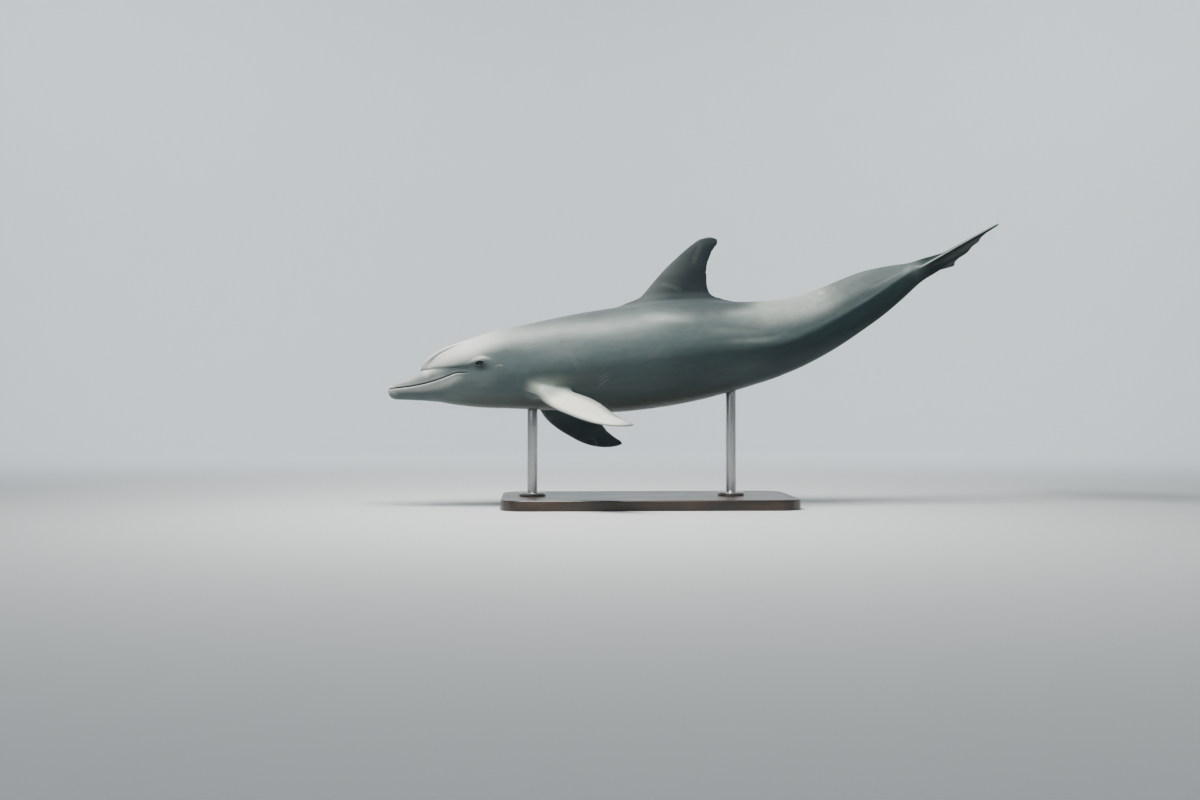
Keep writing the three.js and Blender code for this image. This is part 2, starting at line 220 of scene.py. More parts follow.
def place_on_body(points):
    """Turns points back into distance along the body, sideways and upwards."""
    at = np.interp(points[:, 0], MIDDLE_X, np.arange(LENGTH + 1))
    for _ in range(12):
        x, z, slope = middle(at)
        at = at + (points[:, 0] - x) * np.cos(slope) + (points[:, 2] - z) * np.sin(slope)
        at = np.clip(at, 0, LENGTH - 1)
    x, z, slope = middle(at)
    up = -(points[:, 0] - x) * np.sin(slope) + (points[:, 2] - z) * np.cos(slope)
    roll, y = roll_at(at), points[:, 1]
    return at, y * np.cos(roll) - up * np.sin(roll), y * np.sin(roll) + up * np.cos(roll)


print("half width at the chest:", float(half(920)), "mm")

# %% [markdown]
# ## Lines of the face
# The mouth, the fold under the melon and the lids decide whether the head looks alive.
# The mouth of this animal is one long line that climbs towards the eye and bends down at
# its corner. Side-view curves are the natural way to note such lines.

# %% Mouth, crease and eye places
mouth_height = curve([
    [-30, 7], [13, 10], [60, 14], [127, 23.5], [205, 41], [236, 51], [262, 60], [284, 63],
    [308, 61.5],
])
crease_height = curve([
    [114, 108], [127, 89], [155, 89], [189, 87], [236, 82], [275, 83], [320, 92], [345, 97],
])
MOUTH_END = 309
EYE_CENTRE = np.array([361, 105, 97.0])
EYE = {"long": 16, "deep": 9, "high": 10, "pitch": -9, "lean": 14}
LID = {"long": 14.5, "high": 7.6}
BLOWHOLE = {"at": 384, "radius": 16}
EAR = {"at": 441, "lift": -4}


def line_slope(line, x, step=1.0):
    return np.arctan((line(x + step) - line(x - step)) / (2 * step))


def eye_axes():
    """Along the eye, up it and out of it, on the right side of the head."""
    lean, pitch = math.radians(EYE["lean"]), math.radians(EYE["pitch"])
    flat, up = np.array([math.cos(lean), math.sin(lean), 0]), np.array([0, 0, 1.0])
    return np.array([
        math.cos(pitch) * flat - math.sin(pitch) * up,
        math.sin(pitch) * flat + math.cos(pitch) * up,
        [-math.sin(lean), math.cos(lean), 0],
    ])


EYE_AXES = eye_axes()


def eye_plane(points):
    """Places along the eye, up it and out of it, in millimetres, on either side."""
    x, y, z = np.moveaxis(points, -1, 0)
    offset = np.stack([x, np.abs(y), z], -1) - EYE_CENTRE
    return np.moveaxis(offset @ EYE_AXES.T, -1, 0)


def almond(along, up):
    """0 in the middle of the eye opening, 1 on the edge of the lids."""
    shape = np.clip(1 - np.abs(along / (LID["long"] * 1.12)) ** 2.0, 0.02, 1) ** 0.35
    return np.sqrt((along / LID["long"]) ** 2 + (up / (LID["high"] * shape)) ** 2)


print("the mouth is", MOUTH_END, "mm long in side view")

# %% [markdown]
# ## Relief of the skin
# Relief is what a clay tool adds to the plain form: the cut of the mouth with its lips,
# the fold of the melon, lids round each eye, the crescent of the blowhole, pinhole ears,
# the slits of the belly and old scars. Each is a small hill or groove, in millimetres
# outwards, and the sum moves the points of a fine mesh, so that the light finds real form.

# %% Relief of mouth, melon and beak
def mouth_relief(p):
    x, z = p[..., 0], p[..., 2]
    d = (z - mouth_height(x)) * np.cos(line_slope(mouth_height, x))
    cut = -3.6 * hill(d, 0, 1.7) * (1 - ease(MOUTH_END - 14, MOUTH_END + 2, x))
    rolls = 1.2 * hill(d, 4.2, 3.2) + 2.2 * hill(d, -5.0, 3.6) - 1.2 * hill(d, -15, 6)
    rolls = rolls * (1 - ease(MOUTH_END - 60, MOUTH_END - 8, x))
    corner = -2.2 * hill(x, MOUTH_END + 1, 5) * hill(z, mouth_height(MOUTH_END), 3)
    fold = -1.4 * hill(x - 0.45 * (z - 40), MOUTH_END + 18, 4.5) * hill(z, 38, 24)
    return cut + rolls + corner + fold


def melon_relief(at, turn, p):
    body, dome = reaches(at, turn)
    x, z = p[..., 0], p[..., 2]
    above = np.sin(turn) > 0
    fold = -3.4 * hill(body - dome, 1.0, 3.2) * window(at, 128, 138, 205, 240) * above
    side = -2.2 * hill(z, crease_height(x), 5.0) * window(x, 200, 228, 262, 318)
    shoulder = 2.6 * hill(at, 178, 22) * hill(z, 66, 13)
    hollow = -2.6 * hill(z, 74, 11) * window(x, 215, 250, 290, 335)
    nose_groove = -1.4 * hill(p[..., 1], 0, 7) * window(at, 25, 50, 96, 124) * above
    tip_bulge = 1.6 * hill(at, 17, 9) * np.clip(np.sin(turn), 0, 1)
    return fold + side + shoulder + hollow + nose_groove + tip_bulge


# %% Relief of eyes, blowhole and ears
def eye_relief(p):
    along, up, _ = eye_plane(p)
    rho = almond(along, up)
    swell = 4.6 * hill(along, 0, 34) * hill(up, 2, 22)
    brow = 3.0 * hill(along, 2, 26) * hill(up + 0.006 * along**2, 19, 6.5)
    lids = 2.3 * hill(rho, 1.26, 0.24) * hill(along, 0, 26)
    crow = -0.9 * hill(rho, 1.95, 0.16) * hill(along, 0, 30)
    lower_fold = -1.0 * hill(rho, 2.5, 0.16) * (up < 0) * hill(along, 2, 24)
    opening = -9.0 * (1 - ease(0.80, 1.06, rho))
    corners = -1.6 * hill(np.abs(along), LID["long"] + 3.5, 4) * hill(up, 0, 1.4)
    return swell + brow + lids + crow + lower_fold + opening + corners


def blowhole_distance(at, side):
    r, ahead = BLOWHOLE["radius"], at - BLOWHOLE["at"] + BLOWHOLE["radius"]
    angle = np.clip(np.arctan2(side, ahead), -1.45, 1.45)
    return np.hypot(ahead - r * np.cos(angle), side - r * np.sin(angle))


def blowhole_relief(at, turn, side):
    d, ahead = blowhole_distance(at, side), at - BLOWHOLE["at"]
    slit = -7.5 * hill(d, 0, 2.1) + 0.9 * hill(d, 5.6, 3.2)
    mound = 0.4 * hill(ahead, -6, 34) * hill(side, 0, 34)
    moat = -1.0 * hill(np.hypot(ahead + 8, side), 33, 7)
    return (slit + mound + moat) * ((np.sin(turn) > 0.5) & (np.abs(ahead) < 90))


stripe_side = curve([
    [138, 2], [150, 16], [170, 28], [190, 36], [215, 44], [250, 51], [290, 55], [330, 56],
])


def stripe_gap(at, side):
    """Distance to the fold that runs from the front of the melon back to the blowhole."""
    return np.abs(side) - stripe_side(at)


def stripe_relief(at, turn, side):
    gap = stripe_gap(at, side)
    fold = 0.9 * hill(gap, -7, 4.5) - 1.5 * hill(gap, 0, 3.2)
    return fold * window(at, 138, 170, 250, 345) * (np.sin(turn) > 0.5)


def ear_relief(at, turn, distance):
    d = np.hypot(at - EAR["at"], (lift_of(turn) - math.radians(EAR["lift"])) * distance)
    return -2.6 * hill(d, 0, 2.2) + 0.5 * hill(d, 5, 2.5) * (d < 20)


# %% Relief of trunk, belly and scars
SCARS = [
    [1771, 75, 13, 8, -3.4], [1800, 72, 5, 5, 2.2], [1816, 76, 4, 4, 1.8],
    [1847, 74, 6, 4, 2.2], [1718, -6, 8, 6, -1.6],
]


def scars_at(at, turn, distance, grow=1.0):
    """The depth of each scar, with how much of it every place gets."""
    for where, angle, long, high, depth in SCARS:
        across = np.radians(np.degrees(turn) % 360 - (180 - angle)) * distance
        yield depth, hill(at, where, grow * long) * hill(across, 0, grow * high)


def trunk_relief(at, turn, distance):
    lift, side = np.degrees(lift_of(turn)), distance * np.cos(turn)
    navel = -2.4 * hill(at, 1015, 9) * hill(side, 0, 2.8)
    slit = -3.4 * hill(side, 0, 2.4) * window(at, 1428, 1440, 1512, 1524)
    lips = 1.3 * hill(np.abs(side), 6.5, 3.4) * window(at, 1424, 1444, 1508, 1528)
    teats = -1.8 * hill(np.abs(side), 17, 2.2) * hill(at, 1482, 11)
    muscle = -1.6 * hill(lift, 0, 20) * window(at, 1380, 1600, 1960, 2060)
    back = 1.6 * hill(lift, 42, 18) * window(at, 1320, 1560, 1900, 2040)
    chest = 2.5 * hill(lift, -28, 14) * hill(at, 560, 90)
    marks = sum(depth * share for depth, share in scars_at(at, turn, distance))
    return (navel + slit + lips + teats) * (np.sin(turn) < -0.8) + muscle + back + chest + marks


def relief(at, turn, distance, p):
    side = distance * np.cos(turn)
    total = (mouth_relief(p) + melon_relief(at, turn, p)) * (at < 420)
    total += eye_relief(p) * (at < 480) + ear_relief(at, turn, distance)
    total += blowhole_relief(at, turn, side) + stripe_relief(at, turn, side)
    return (total + trunk_relief(at, turn, distance)) * ease(0, 6, at)


print("scars:", len(SCARS))

# %% [markdown]
# ## A fine mesh for the body
# A sculptor puts small tools where the small forms are. Our mesh does the same: rings lie
# under a millimetre apart round the eye and blowhole and several millimetres apart on the
# trunk, and each ring crowds its points near the mouth and eye. A subdivision surface
# would spend as many faces on the plain flank as on the lids.

# %% Rings and columns
COLUMNS, FINE_END, LAST_RING = 400, 520.0, 2396.0


def rings_of(rows):
    """Places of rings, from rows of a start, an end and the step between rings."""
    return [
        place for start, end, step in rows
        for place in np.linspace(start, end, round((end - start) / step), endpoint=False)
    ]


snout_rings = [SNOUT_ROUND * (i / 30) ** 2 for i in range(1, 30)]
fine_rings = np.array(snout_rings + rings_of([
    [SNOUT_ROUND, 330, 1.5], [330, 400, 0.85], [400, 456, 1.3], [456, FINE_END, 3],
]) + [FINE_END])
coarse_rings = np.array(rings_of([
    [FINE_END, 1000, 6], [1000, 1030, 2.5], [1030, 1416, 6], [1416, 1536, 2.5],
    [1536, 1740, 5], [1740, 1860, 2.5], [1860, LAST_RING, 4.5],
])[1:] + [LAST_RING])


def crowded_turns(count):
    grid = np.linspace(-np.pi / 2, 1.5 * np.pi, 7201)
    lift = np.degrees(lift_of(grid))
    weight = 1 + 2.8 * hill(lift, -2, 17) + 1.3 * hill(lift, 90, 9) + 1.6 * hill(lift, -90, 6)
    total = np.concatenate([[0], np.cumsum((weight[1:] + weight[:-1]) / 2)])
    return np.interp(np.arange(count) / count * total[-1], total, grid)


def mouth_lift(at):
    """The angle at which each ring meets the line of the mouth."""
    low, high = np.full_like(at, -1.2), np.full_like(at, 1.2)
    for _ in range(30):
        mid = (low + high) / 2
        p = lay(at, mid, reach(at, mid))
        under = p[:, 2] < mouth_height(p[:, 0])
        low, high = np.where(under, mid, low), np.where(under, high, mid)
    return (low + high) / 2


def turns_of(at, turns):
    """Bends the columns so that one of them runs along the mouth."""
    steady, spread = math.radians(-9), 0.42
    follow = np.clip(mouth_lift(np.clip(at, 24, MOUTH_END)), -0.5, 0.3)
    follow = (follow - steady) * window(at, 16, 40, MOUTH_END, 345)
    shift = follow[:, None] * hill(lift_of(turns), steady, spread)[None, :]
    return turns[None, :] + shift * np.sign(np.cos(turns))[None, :]


crowded = crowded_turns(COLUMNS)
even = -np.pi / 2 + 2 * np.pi * np.arange(COLUMNS) / COLUMNS
every_other = np.arange(0, COLUMNS, 2)
blend = ease(FINE_END, 900, coarse_rings)[:, None] * 0.7
fine_turns = turns_of(fine_rings, crowded)
coarse_turns = crowded[every_other] * (1 - blend) + even[every_other] * blend
print(len(fine_rings), "fine rings of", COLUMNS, "and", len(coarse_rings), "coarser ones")

# %% Points of the body
def skin_points(at, turns):
    at = np.broadcast_to(at[:, None], turns.shape)

    def plain(further, round_it):
        there, turn = at + further, turns + round_it
        return lay(there, turn, reach(there, turn))

    distance = reach(at, turns)
    base = lay(at, turns, distance)
    normal = np.cross(plain(0, 0.004) - plain(0, -0.004), plain(0.5, 0) - plain(-0.5, 0))
    normal /= np.maximum(np.linalg.norm(normal, axis=-1, keepdims=True), 1e-9)
    outward = lay(at, turns, distance + 1) - base
    normal *= np.sign(np.sum(normal * outward, -1, keepdims=True))
    return base + normal * relief(at, turns, distance, base)[..., None]


fine_points = skin_points(fine_rings, fine_turns)
coarse_points = skin_points(coarse_rings, coarse_turns)
tail_end = lay(np.array([2399.0]), np.zeros(1), np.zeros(1))
body_points = np.vstack([
    np.zeros((1, 3)), fine_points.reshape(-1, 3), coarse_points.reshape(-1, 3), tail_end,
])


# %% Faces between rings
def ring_faces(first, rings, columns):
    i, j = np.meshgrid(np.arange(rings - 1), np.arange(columns), indexing="ij")
    k = (j + 1) % columns
    a, b = first + i * columns + j, first + i * columns + k
    return np.stack([a, b, b + columns, a + columns], -1).reshape(-1, 4)


def fan(ring, point):
    """Triangles from each side of a ring of point numbers to one more point."""
    return np.stack([ring, np.roll(ring, -1), np.full_like(ring, point)], -1)


def tuples(*groups):
    return [tuple(face) for faces in groups for face in faces.tolist()]


def tube(rings, low, high):
    """Points and faces of stacked rings, closed by one point below and one above."""
    count, around = len(rings), len(rings[0])
    first, end = np.arange(around), count * around
    points = np.vstack([np.reshape(rings, (-1, 3)), low, high])
    low_fan, high_fan = fan(first, end)[:, ::-1], fan(first + end - around, end + 1)
    return points, tuples(ring_faces(0, count, around), low_fan, high_fan)


def body_faces():
    """The fine part, the coarse one with half as many columns, and the strip between."""
    fine, coarse, few = len(fine_rings), len(coarse_rings), len(every_other)
    start = 1 + fine * COLUMNS
    last = start - COLUMNS
    c = np.arange(few)
    n = (c + 1) % few
    a, b, d = last + 2 * c, last + 2 * c + 1, last + (2 * c + 2) % COLUMNS
    strip = [(a, b, start + c), (b, start + n, start + c), (b, d, start + n)]
    nose = fan(1 + np.arange(COLUMNS), 0)[:, ::-1]
    tail = fan(start + (coarse - 1) * few + c, start + coarse * few)
    return tuples(
        nose, *(np.stack(corners, -1) for corners in strip), tail,
        ring_faces(1, fine, COLUMNS), ring_faces(start, coarse, few),
    )


def make_mesh(name, points, faces):
    mesh = bpy.data.meshes.new(name)
    mesh.from_pydata(points.tolist(), [], faces)
    mesh.validate()
    piece = bpy.data.objects.new(name, mesh)
    bpy.context.scene.collection.objects.link(piece)
    return piece


faces_of_body = body_faces()
print("body:", len(body_points), "points,", len(faces_of_body), "faces")

# %% [markdown]
# ## Fins
# A dolphin's fins have the section of a wing: a blunt leading edge, the thickest part a
# third of the way back and a thin trailing edge. The flippers hold bones, the dorsal fin
# and the flukes only tough fibre. Each fin is a loft of wing sections along its span. The
# trailing edges of grown animals are never perfect, so a few small nicks are cut into them.

# %% Rows of the fins: span, leading edge, trailing edge, thickness
FLIPPER = [
    [-70, -48, 26, 50], [-10, -58, 30, 46], [40, -77, 36, 36], [90, -88, 41, 30],
    [150, -93, 46, 25], [220, -93, 37, 21], [280, -87, 18, 17], [330, -73, 4, 13],
    [375, -51, -1, 10], [405, -28, -2, 8], [419, -12, -5, 7],
]
DORSAL = [
    [-60, 880, 1350, 60], [0, 950, 1320, 52], [20, 981, 1286, 46], [45, 1003, 1259, 41],
    [90, 1040, 1249, 34], [140, 1084, 1249, 28], [190, 1136, 1262, 22],
    [225, 1175, 1279, 18], [248, 1204, 1294, 14], [262, 1226, 1293, 11], [270, 1246, 1283, 9],
]
FLUKE = [
    [-20, 20, 276, 40], [0, 0, 286, 48], [18, 16, 306, 42], [35, 48, 317, 36],
    [60, 80, 321, 30], [100, 118, 312, 24], [150, 165, 304, 18], [200, 213, 305, 14],
    [240, 257, 313, 11], [268, 292, 322, 9], [284, 315, 328, 8], [290, 325, 331, 7],
]
CLOSING, EDGE = 0.04, 1.5  # share of the span in which the tip closes, and edge in mm


def foil(c):
    """Half the thickness of a wing section, at a share of its chord."""
    return 5 * (0.2969 * np.sqrt(c) - 0.126 * c - 0.3516 * c**2 + 0.2843 * c**3 - 0.1036 * c**4)


class Fin:
    """A lofted fin: an origin, a span, a chord and rows of span, edges and thickness."""

    def __init__(self, rows, origin, span, chord, nicks):
        rows, chord = np.array(rows, float), np.array(chord, float)
        self.first, self.last = rows[0, 0], rows[-1, 0]
        self.lead, self.trail, self.thick = (curve(rows[:, [0, k]]) for k in (1, 2, 3))
        self.origin, self.span, self.nicks = np.array(origin, float), unit(span), nicks
        self.chord = unit(chord - self.span * (chord @ self.span))
        self.normal = np.cross(self.span, self.chord)

    def back_edge(self, b):
        nicks = (deep * hill(b, where, wide) for where, wide, deep in self.nicks)
        return self.trail(b) - sum(nicks)

    def mesh(self, rings=110, around=88):
        u = np.linspace(0, 1, rings, endpoint=False)
        b = (self.first + (self.last - self.first) * (1 - (1 - u) ** 1.7))[:, None]
        left = np.clip((self.last - b) / (CLOSING * self.last), 0, 1)
        close = np.sqrt(1 - (1 - left) ** 2)
        turn = (2 * np.pi * np.arange(around) / around)[None, :]
        lead, back = self.lead(b), self.back_edge(b)
        along = (lead + back) / 2 - (back - lead) / 2 * close * np.cos(turn)
        height = foil((1 - np.cos(turn)) / 2) * self.thick(b) * np.sign(np.sin(turn))
        height = (height + EDGE * 0.8 * np.sin(turn)) * close
        points = self.origin + b[..., None] * self.span
        points = points + along[..., None] * self.chord + height[..., None] * self.normal
        middle_of_tip = (self.lead(self.last) + self.trail(self.last)) / 2
        tip = self.origin + self.last * self.span + middle_of_tip * self.chord
        points, faces = tube(points, points[0].mean(0), tip)
        return points, [face[::-1] for face in faces]

    def places(self, points):
        """Distance along the span, along the chord and over the middle of any point."""
        v = points - self.origin
        return v @ self.span, v @ self.chord, v @ self.normal


def flipper(side, chord):
    nicks = [(240, 5, 2.5), (318, 3.5, 2)]
    return Fin(FLIPPER, [626, side * 126, -9], [308, side * 234, -153], chord, nicks)


def fluke(side, nicks):
    x, z, _ = middle(2110)
    roll, slope = float(roll_at(LENGTH)), math.radians(24)
    span = [0, side * math.cos(roll), -side * math.sin(roll)]
    return Fin(FLUKE, [x, 0, z + 6], span, [math.cos(slope), 0, math.sin(slope)], nicks)


# The right flipper is turned a little further about its own length.
FINS = {
    "dorsal": Fin(
        DORSAL, [0, 0, 351], [0, 0, 1], [1, 0, 0], [(128, 4, 3), (170, 3, 2), (212, 3, 2.5)]
    ),
    "flipper_left": flipper(-1, [0.67, 0.57, 0.48]),
    "flipper_right": flipper(1, [0.6, -0.31, 0.74]),
    "fluke_left": fluke(-1, [(104, 3, 1.6), (181, 2.5, 1.8), (232, 3, 1.4)]),
    "fluke_right": fluke(1, [(124, 3, 1.8), (208, 3, 1.6)]),
}
BLEND = {"dorsal": 46, "flipper": 34, "fluke": 30}
fin_meshes = {name: fin.mesh() for name, fin in FINS.items()}
print("fins:", {name: len(points) for name, (points, _) in fin_meshes.items()})

# %% [markdown]
# ## Fins that grow out of the body
# Where clay meets clay the thumb leaves a hollow curve. In the mesh each surface swells
# towards its neighbour before the two are joined: the closer they are, the more it rises,
# on a curve that meets the other at the same slope. A voxel remesh would also melt them
# together, but it would lose the lids.

# %% Swell the surfaces towards each other
def tree_of(points, faces):
    return BVHTree.FromPolygons([tuple(p) for p in points], faces)


def normals_of(points, faces):
    normal = np.zeros_like(points)
    for size in (3, 4):
        some = np.array([f for f in faces if len(f) == size])
        corner = points[some]
        across = np.cross(corner[:, 2] - corner[:, 0], corner[:, -1] - corner[:, 1])
        for k in range(size):
            np.add.at(normal, some[:, k], across)
    return normal / np.maximum(np.linalg.norm(normal, axis=1, keepdims=True), 1e-12)


def gap_to(tree, points, limit):
    """Distance of each point to a surface, infinite past the limit."""
    gap = np.full(len(points), np.inf)
    for i, p in enumerate(points):
        found = tree.find_nearest(Vector(p), limit)
        if found[0] is not None:
            gap[i] = found[3]
    return gap


def within(points, shape, margin):
    """Which points lie in the box round a shape, made larger by a margin."""
    return np.all((points > shape.min(0) - margin) & (points < shape.max(0) + margin), axis=1)


def swell(gap, size):
    near = np.minimum(gap, size)
    rise = (np.sqrt(size) - np.sqrt(np.maximum(near, size / 4))) ** 2
    return rise + 0.5 * np.maximum(size / 4 - near, 0)


body_tree = tree_of(body_points, faces_of_body)
body_normals = normals_of(body_points, faces_of_body)
sideways = np.abs(body_normals[:, 1]) > 0.5
pointing_out = np.sign(body_normals[sideways, 1]) == np.sign(body_points[sideways, 1])
print("skin normals that point out:", round(100 * float(pointing_out.mean())), "%")
body_swell = np.zeros(len(body_points))
shaped_fins = {}
for name, (points, faces) in fin_meshes.items():
    size = BLEND[name.split("_")[0]]
    near = within(body_points, points, size)
    rise = swell(gap_to(tree_of(points, faces), body_points[near], size), size)
    body_swell[near] = np.maximum(body_swell[near], rise)
    own = swell(gap_to(body_tree, points, size), size)
    shaped_fins[name] = (points + normals_of(points, faces) * own[:, None], faces, size)
body_shaped = body_points + body_normals * body_swell[:, None]
print("largest swelling:", round(float(body_swell.max()), 1), "mm")

# %% [markdown]
# ## Bank, lift and join
# The animal banks a little on its stand, left side up, as it swims past. We place every
# surface, then join them with a Boolean union, which leaves one closed skin. Last, a
# thumb's worth of smoothing runs along each seam and nowhere else.

# %% Place and join
BANK, BANK_HEIGHT = math.radians(7), 120
SNOUT = np.array([-1010, 0, 445])


def turned(points, angle):
    """Turns points about the line the animal banks about."""
    c, s = math.cos(angle), math.sin(angle)
    y, z = points[:, 1], points[:, 2] - BANK_HEIGHT
    return np.stack([points[:, 0], c * y + s * z, -s * y + c * z + BANK_HEIGHT], -1)


def bank(points):
    return (turned(points, BANK) + SNOUT) * MM


def unbank(points):
    return turned(points / MM - SNOUT, -BANK)


skin = make_mesh("dolphin_skin", bank(body_shaped), faces_of_body)
for name, (points, faces, _) in shaped_fins.items():
    cutter = make_mesh("fin_" + name, bank(points), faces)
    join = skin.modifiers.new(name, "BOOLEAN")
    join.operation, join.solver, join.object = "UNION", "MANIFOLD", cutter
    with bpy.context.temp_override(object=skin, active_object=skin):
        bpy.ops.object.modifier_apply(modifier=name)
    bpy.data.objects.remove(cutter)


def coordinates(mesh):
    flat = np.empty(len(mesh.vertices) * 3, np.float32)
    mesh.vertices.foreach_get("co", flat)
    return flat.reshape(-1, 3).astype(float)


triangles = sum(len(p.vertices) - 2 for p in skin.data.polygons)
print("skin:", len(skin.data.vertices), "points,", triangles, "triangles")

# %% Smooth the seams
def seam_weight(points):
    """1 on a seam between body and fin, fading out within a few centimetres."""
    weight = np.zeros(len(points))
    tree = tree_of(body_shaped, faces_of_body)
    for shape, faces, size in shaped_fins.values():
        size = size * 0.55
        near = within(points, shape, size)
        to_fin = gap_to(tree_of(shape, faces), points[near], size)
        to_body = gap_to(tree, points[near], size)
        rise = 1 - ease(0.1, 1, np.maximum(to_fin, to_body) / size)
        weight[near] = np.maximum(weight[near], rise)
    return weight


def relax(mesh, points, weight, rounds=28, step=0.6):
    """Moves weighted points towards the mean of their neighbours, again and again."""
    pairs = np.empty(len(mesh.edges) * 2, np.int32)
    mesh.edges.foreach_get("vertices", pairs)
    pairs = pairs.reshape(-1, 2)
    pairs = pairs[(weight[pairs] > 0).any(1)]
    a, b = np.concatenate([pairs, pairs[:, ::-1]]).T
    count, size = np.maximum(np.bincount(a, minlength=len(points)), 1), len(points)
    for _ in range(rounds):
        mean = [np.bincount(a, points[b, k], minlength=size) / count for k in range(3)]
        points = points + (np.stack(mean, -1) - points) * (step * weight)[:, None]
    return points


local = unbank(coordinates(skin.data))
seams = seam_weight(local)
local = relax(skin.data, local, seams)
skin.data.vertices.foreach_set("co", bank(local).astype(np.float32).ravel())
skin.data.update()
skin.data.shade_smooth()
print("points smoothed along seams:", int((seams > 0).sum()))

# %% [markdown]
# ## Where each colour goes
# Painters of museum animals spray the pattern in soft layers. Here the melon, the nape
# and the top of the tail are painted light, as if lit from above, with a few painted
# highlight streaks along the flank. A dark cape lies under the dorsal fin. The low flank
# is painted shade, and the belly is painted a darker, browner grey than the flank as
# shade, though still lighter than the low flank. Then come the fine marks of the head,
# among them painted highlights on lips, beak, melon and brow and painted shade in the
# mouth, folds, lids and pits. We store how much of each layer a point gets as a mask on
# the mesh. The masks are functions of the place on the body, so the paint follows the
# form on every side.

# %% Masks of the body
at, side, rise = place_on_body(local)
turn_of = np.arctan2(rise, side)
lift = np.degrees(lift_of(turn_of))
from_middle = np.hypot(side, rise)
on_body = np.clip(at, 1, LAST_RING - 1)
height_over_body = from_middle - reach(on_body, turn_of)


def store(piece, name, values):
    """Keeps a number or a vector for every point of a mesh."""
    kind, field = ("FLOAT", "value") if values.ndim == 1 else ("FLOAT_VECTOR", "vector")
    layer = piece.data.attributes.new(name, kind, "POINT")
    layer.data.foreach_set(field, values.astype(np.float32).ravel())


def mask(name, values):
    store(skin, name, np.clip(values, 0, 1))
    print(name, "covers", round(100 * float(np.mean(values > 0.5)), 1), "% of the points")


fin_part = ease(0, 30, height_over_body) * (at > 500)
# Painted light: the top of the body is painted pale where light from above falls on it, most on
# the melon and the tail stock.
top_light_profile = curve([
    [0, 0.8], [150, 1], [330, 1], [430, 0.74], [480, 0.46], [540, 0.5], [620, 0.3],
    [700, 0.2], [800, 0.14], [1000, 0.18], [1150, 0.1], [1240, 0.04], [1340, 0.12],
    [1400, 0.26], [1540, 0.8], [1720, 0.84], [1880, 0.18], [2100, 0.18], [2300, 0.1],
])
# Painted highlights: pale streaks along the upper flank and the tail stock where light catches the
# body.
RIBBONS = [  # start, end, angle at both, half width in degrees, strength
    [1015, 1160, 40, 36, 8, 0.62], [1350, 1640, 46, 56, 12, 0.62],
    [1360, 1500, 0, -6, 5, 0.34], [1260, 1480, 17, 12, 7, 0.24],
    [660, 940, 34, 26, 8, 0.2], [1560, 1800, 24, 20, 9, 0.24],
    [1960, 2130, 34, 42, 9, 0.4], [610, 760, 11, 8, 15, 0.13],
]
ribbons = np.zeros(len(at))
for start, end, low, high, wide, strength in RIBBONS:
    share = np.clip((at - start) / (end - start), 0, 1)
    inside = window(at, start - 80, start + 80, end - 80, end + 80)
    ribbon = strength * inside * hill(lift, low + (high - low) * share, wide)
    ribbons = np.maximum(ribbons, ribbon)
top_light_start = curve([[320, 0], [360, 5], [400, 15], [460, 16], [580, 4], [700, 0]])(at)
upper_light = ease(0, 1, (lift - top_light_start) / (42 - 0.5 * top_light_start)) * top_light_profile(at)
mask("upper_light", np.maximum(upper_light, ribbons))
cape_line = curve([
    [400, 70], [560, 58], [700, 51], [843, 45], [1000, 46], [1100, 47], [1220, 41],
    [1420, 55], [1560, 84],
])
cape_share = curve([
    [440, 0], [560, 0.3], [700, 0.4], [843, 0.7], [1000, 0.7], [1150, 0.9], [1260, 1],
    [1400, 0.95], [1540, 0],
])
mask("cape", ease(-13, 13, lift - cape_line(at)) * cape_share(at))
# Painted shade: the low flank, turned away from light from above, is painted dark, most of all
# along the tail stock, with a little on the middle of the flank and less on the cheek.
shade_edge = curve([
    [300, -30], [440, -22], [830, -8], [1012, -8], [1208, -4], [1366, -9], [1565, -18],
    [1731, -15], [1909, -15], [2014, -7], [2152, 12], [2260, 12],
])
shade_soft = curve([[300, 25], [1100, 18], [1366, 11], [1565, 9], [2152, 9]])
shade_share = curve([
    [150, 0], [300, 0.15], [440, 0.35], [824, 0.6], [1012, 0.64], [1208, 0.9], [1366, 0.8],
    [1521, 1], [2100, 1],
])
low_flank = (1 - ease(-1, 1, (lift - shade_edge(at)) / shade_soft(at))) * shade_share(at)
mid_flank = hill(at, 1150, 260) * hill(lift, 12, 20) + hill(at, 1860, 110) * hill(lift, 22, 13)
cheek = window(at, 150, 260, 360, 470) * hill(lift, -20, 18)
mask("low_flank", np.maximum(low_flank - 0.3 * cheek, 0.2 * mid_flank) * (1 - fin_part))
mask("cheek", cheek)
# The belly is painted a darker, browner grey than the flank: painted shade with a brownish cast of
# light from below, though lighter than the shaded low flank, as the live animal is paler beneath.
belly = (1 - ease(-66, -46, lift)) * window(at, 150, 330, 1100, 1500)
mask("belly", 0.9 * belly * (1 - fin_part))

# %% Masks of the head
x, z = local[:, 0], local[:, 2]
head = at < 470
eye_along, eye_up, eye_out = eye_plane(local)
near_eye = (np.abs(at - 360) < 120) & (eye_out > -60)
mouth_gap = (z - mouth_height(x)) * np.cos(line_slope(mouth_height, x))
mouth_shade_line = hill(mouth_gap, 0, 1.9) * (1 - ease(MOUTH_END - 10, MOUTH_END + 4, x)) * head
body_part, dome_part = reaches(on_body, turn_of)
melon_fold_shade = hill(body_part - dome_part, 1.5, 4.0) * window(at, 130, 140, 200, 235) * (rise > 0)
side_fold = hill(z - crease_height(x), -2, 7.5 + 4 * ease(240, 330, x))
side_fold = side_fold * window(x, 180, 215, 335, 352) * head
eye_patch = hill(eye_along, -1, 25) * hill(eye_up, -3, 14)
eye_patch += 0.7 * hill(eye_along, 10, 22) * hill(eye_up, -20, 13)
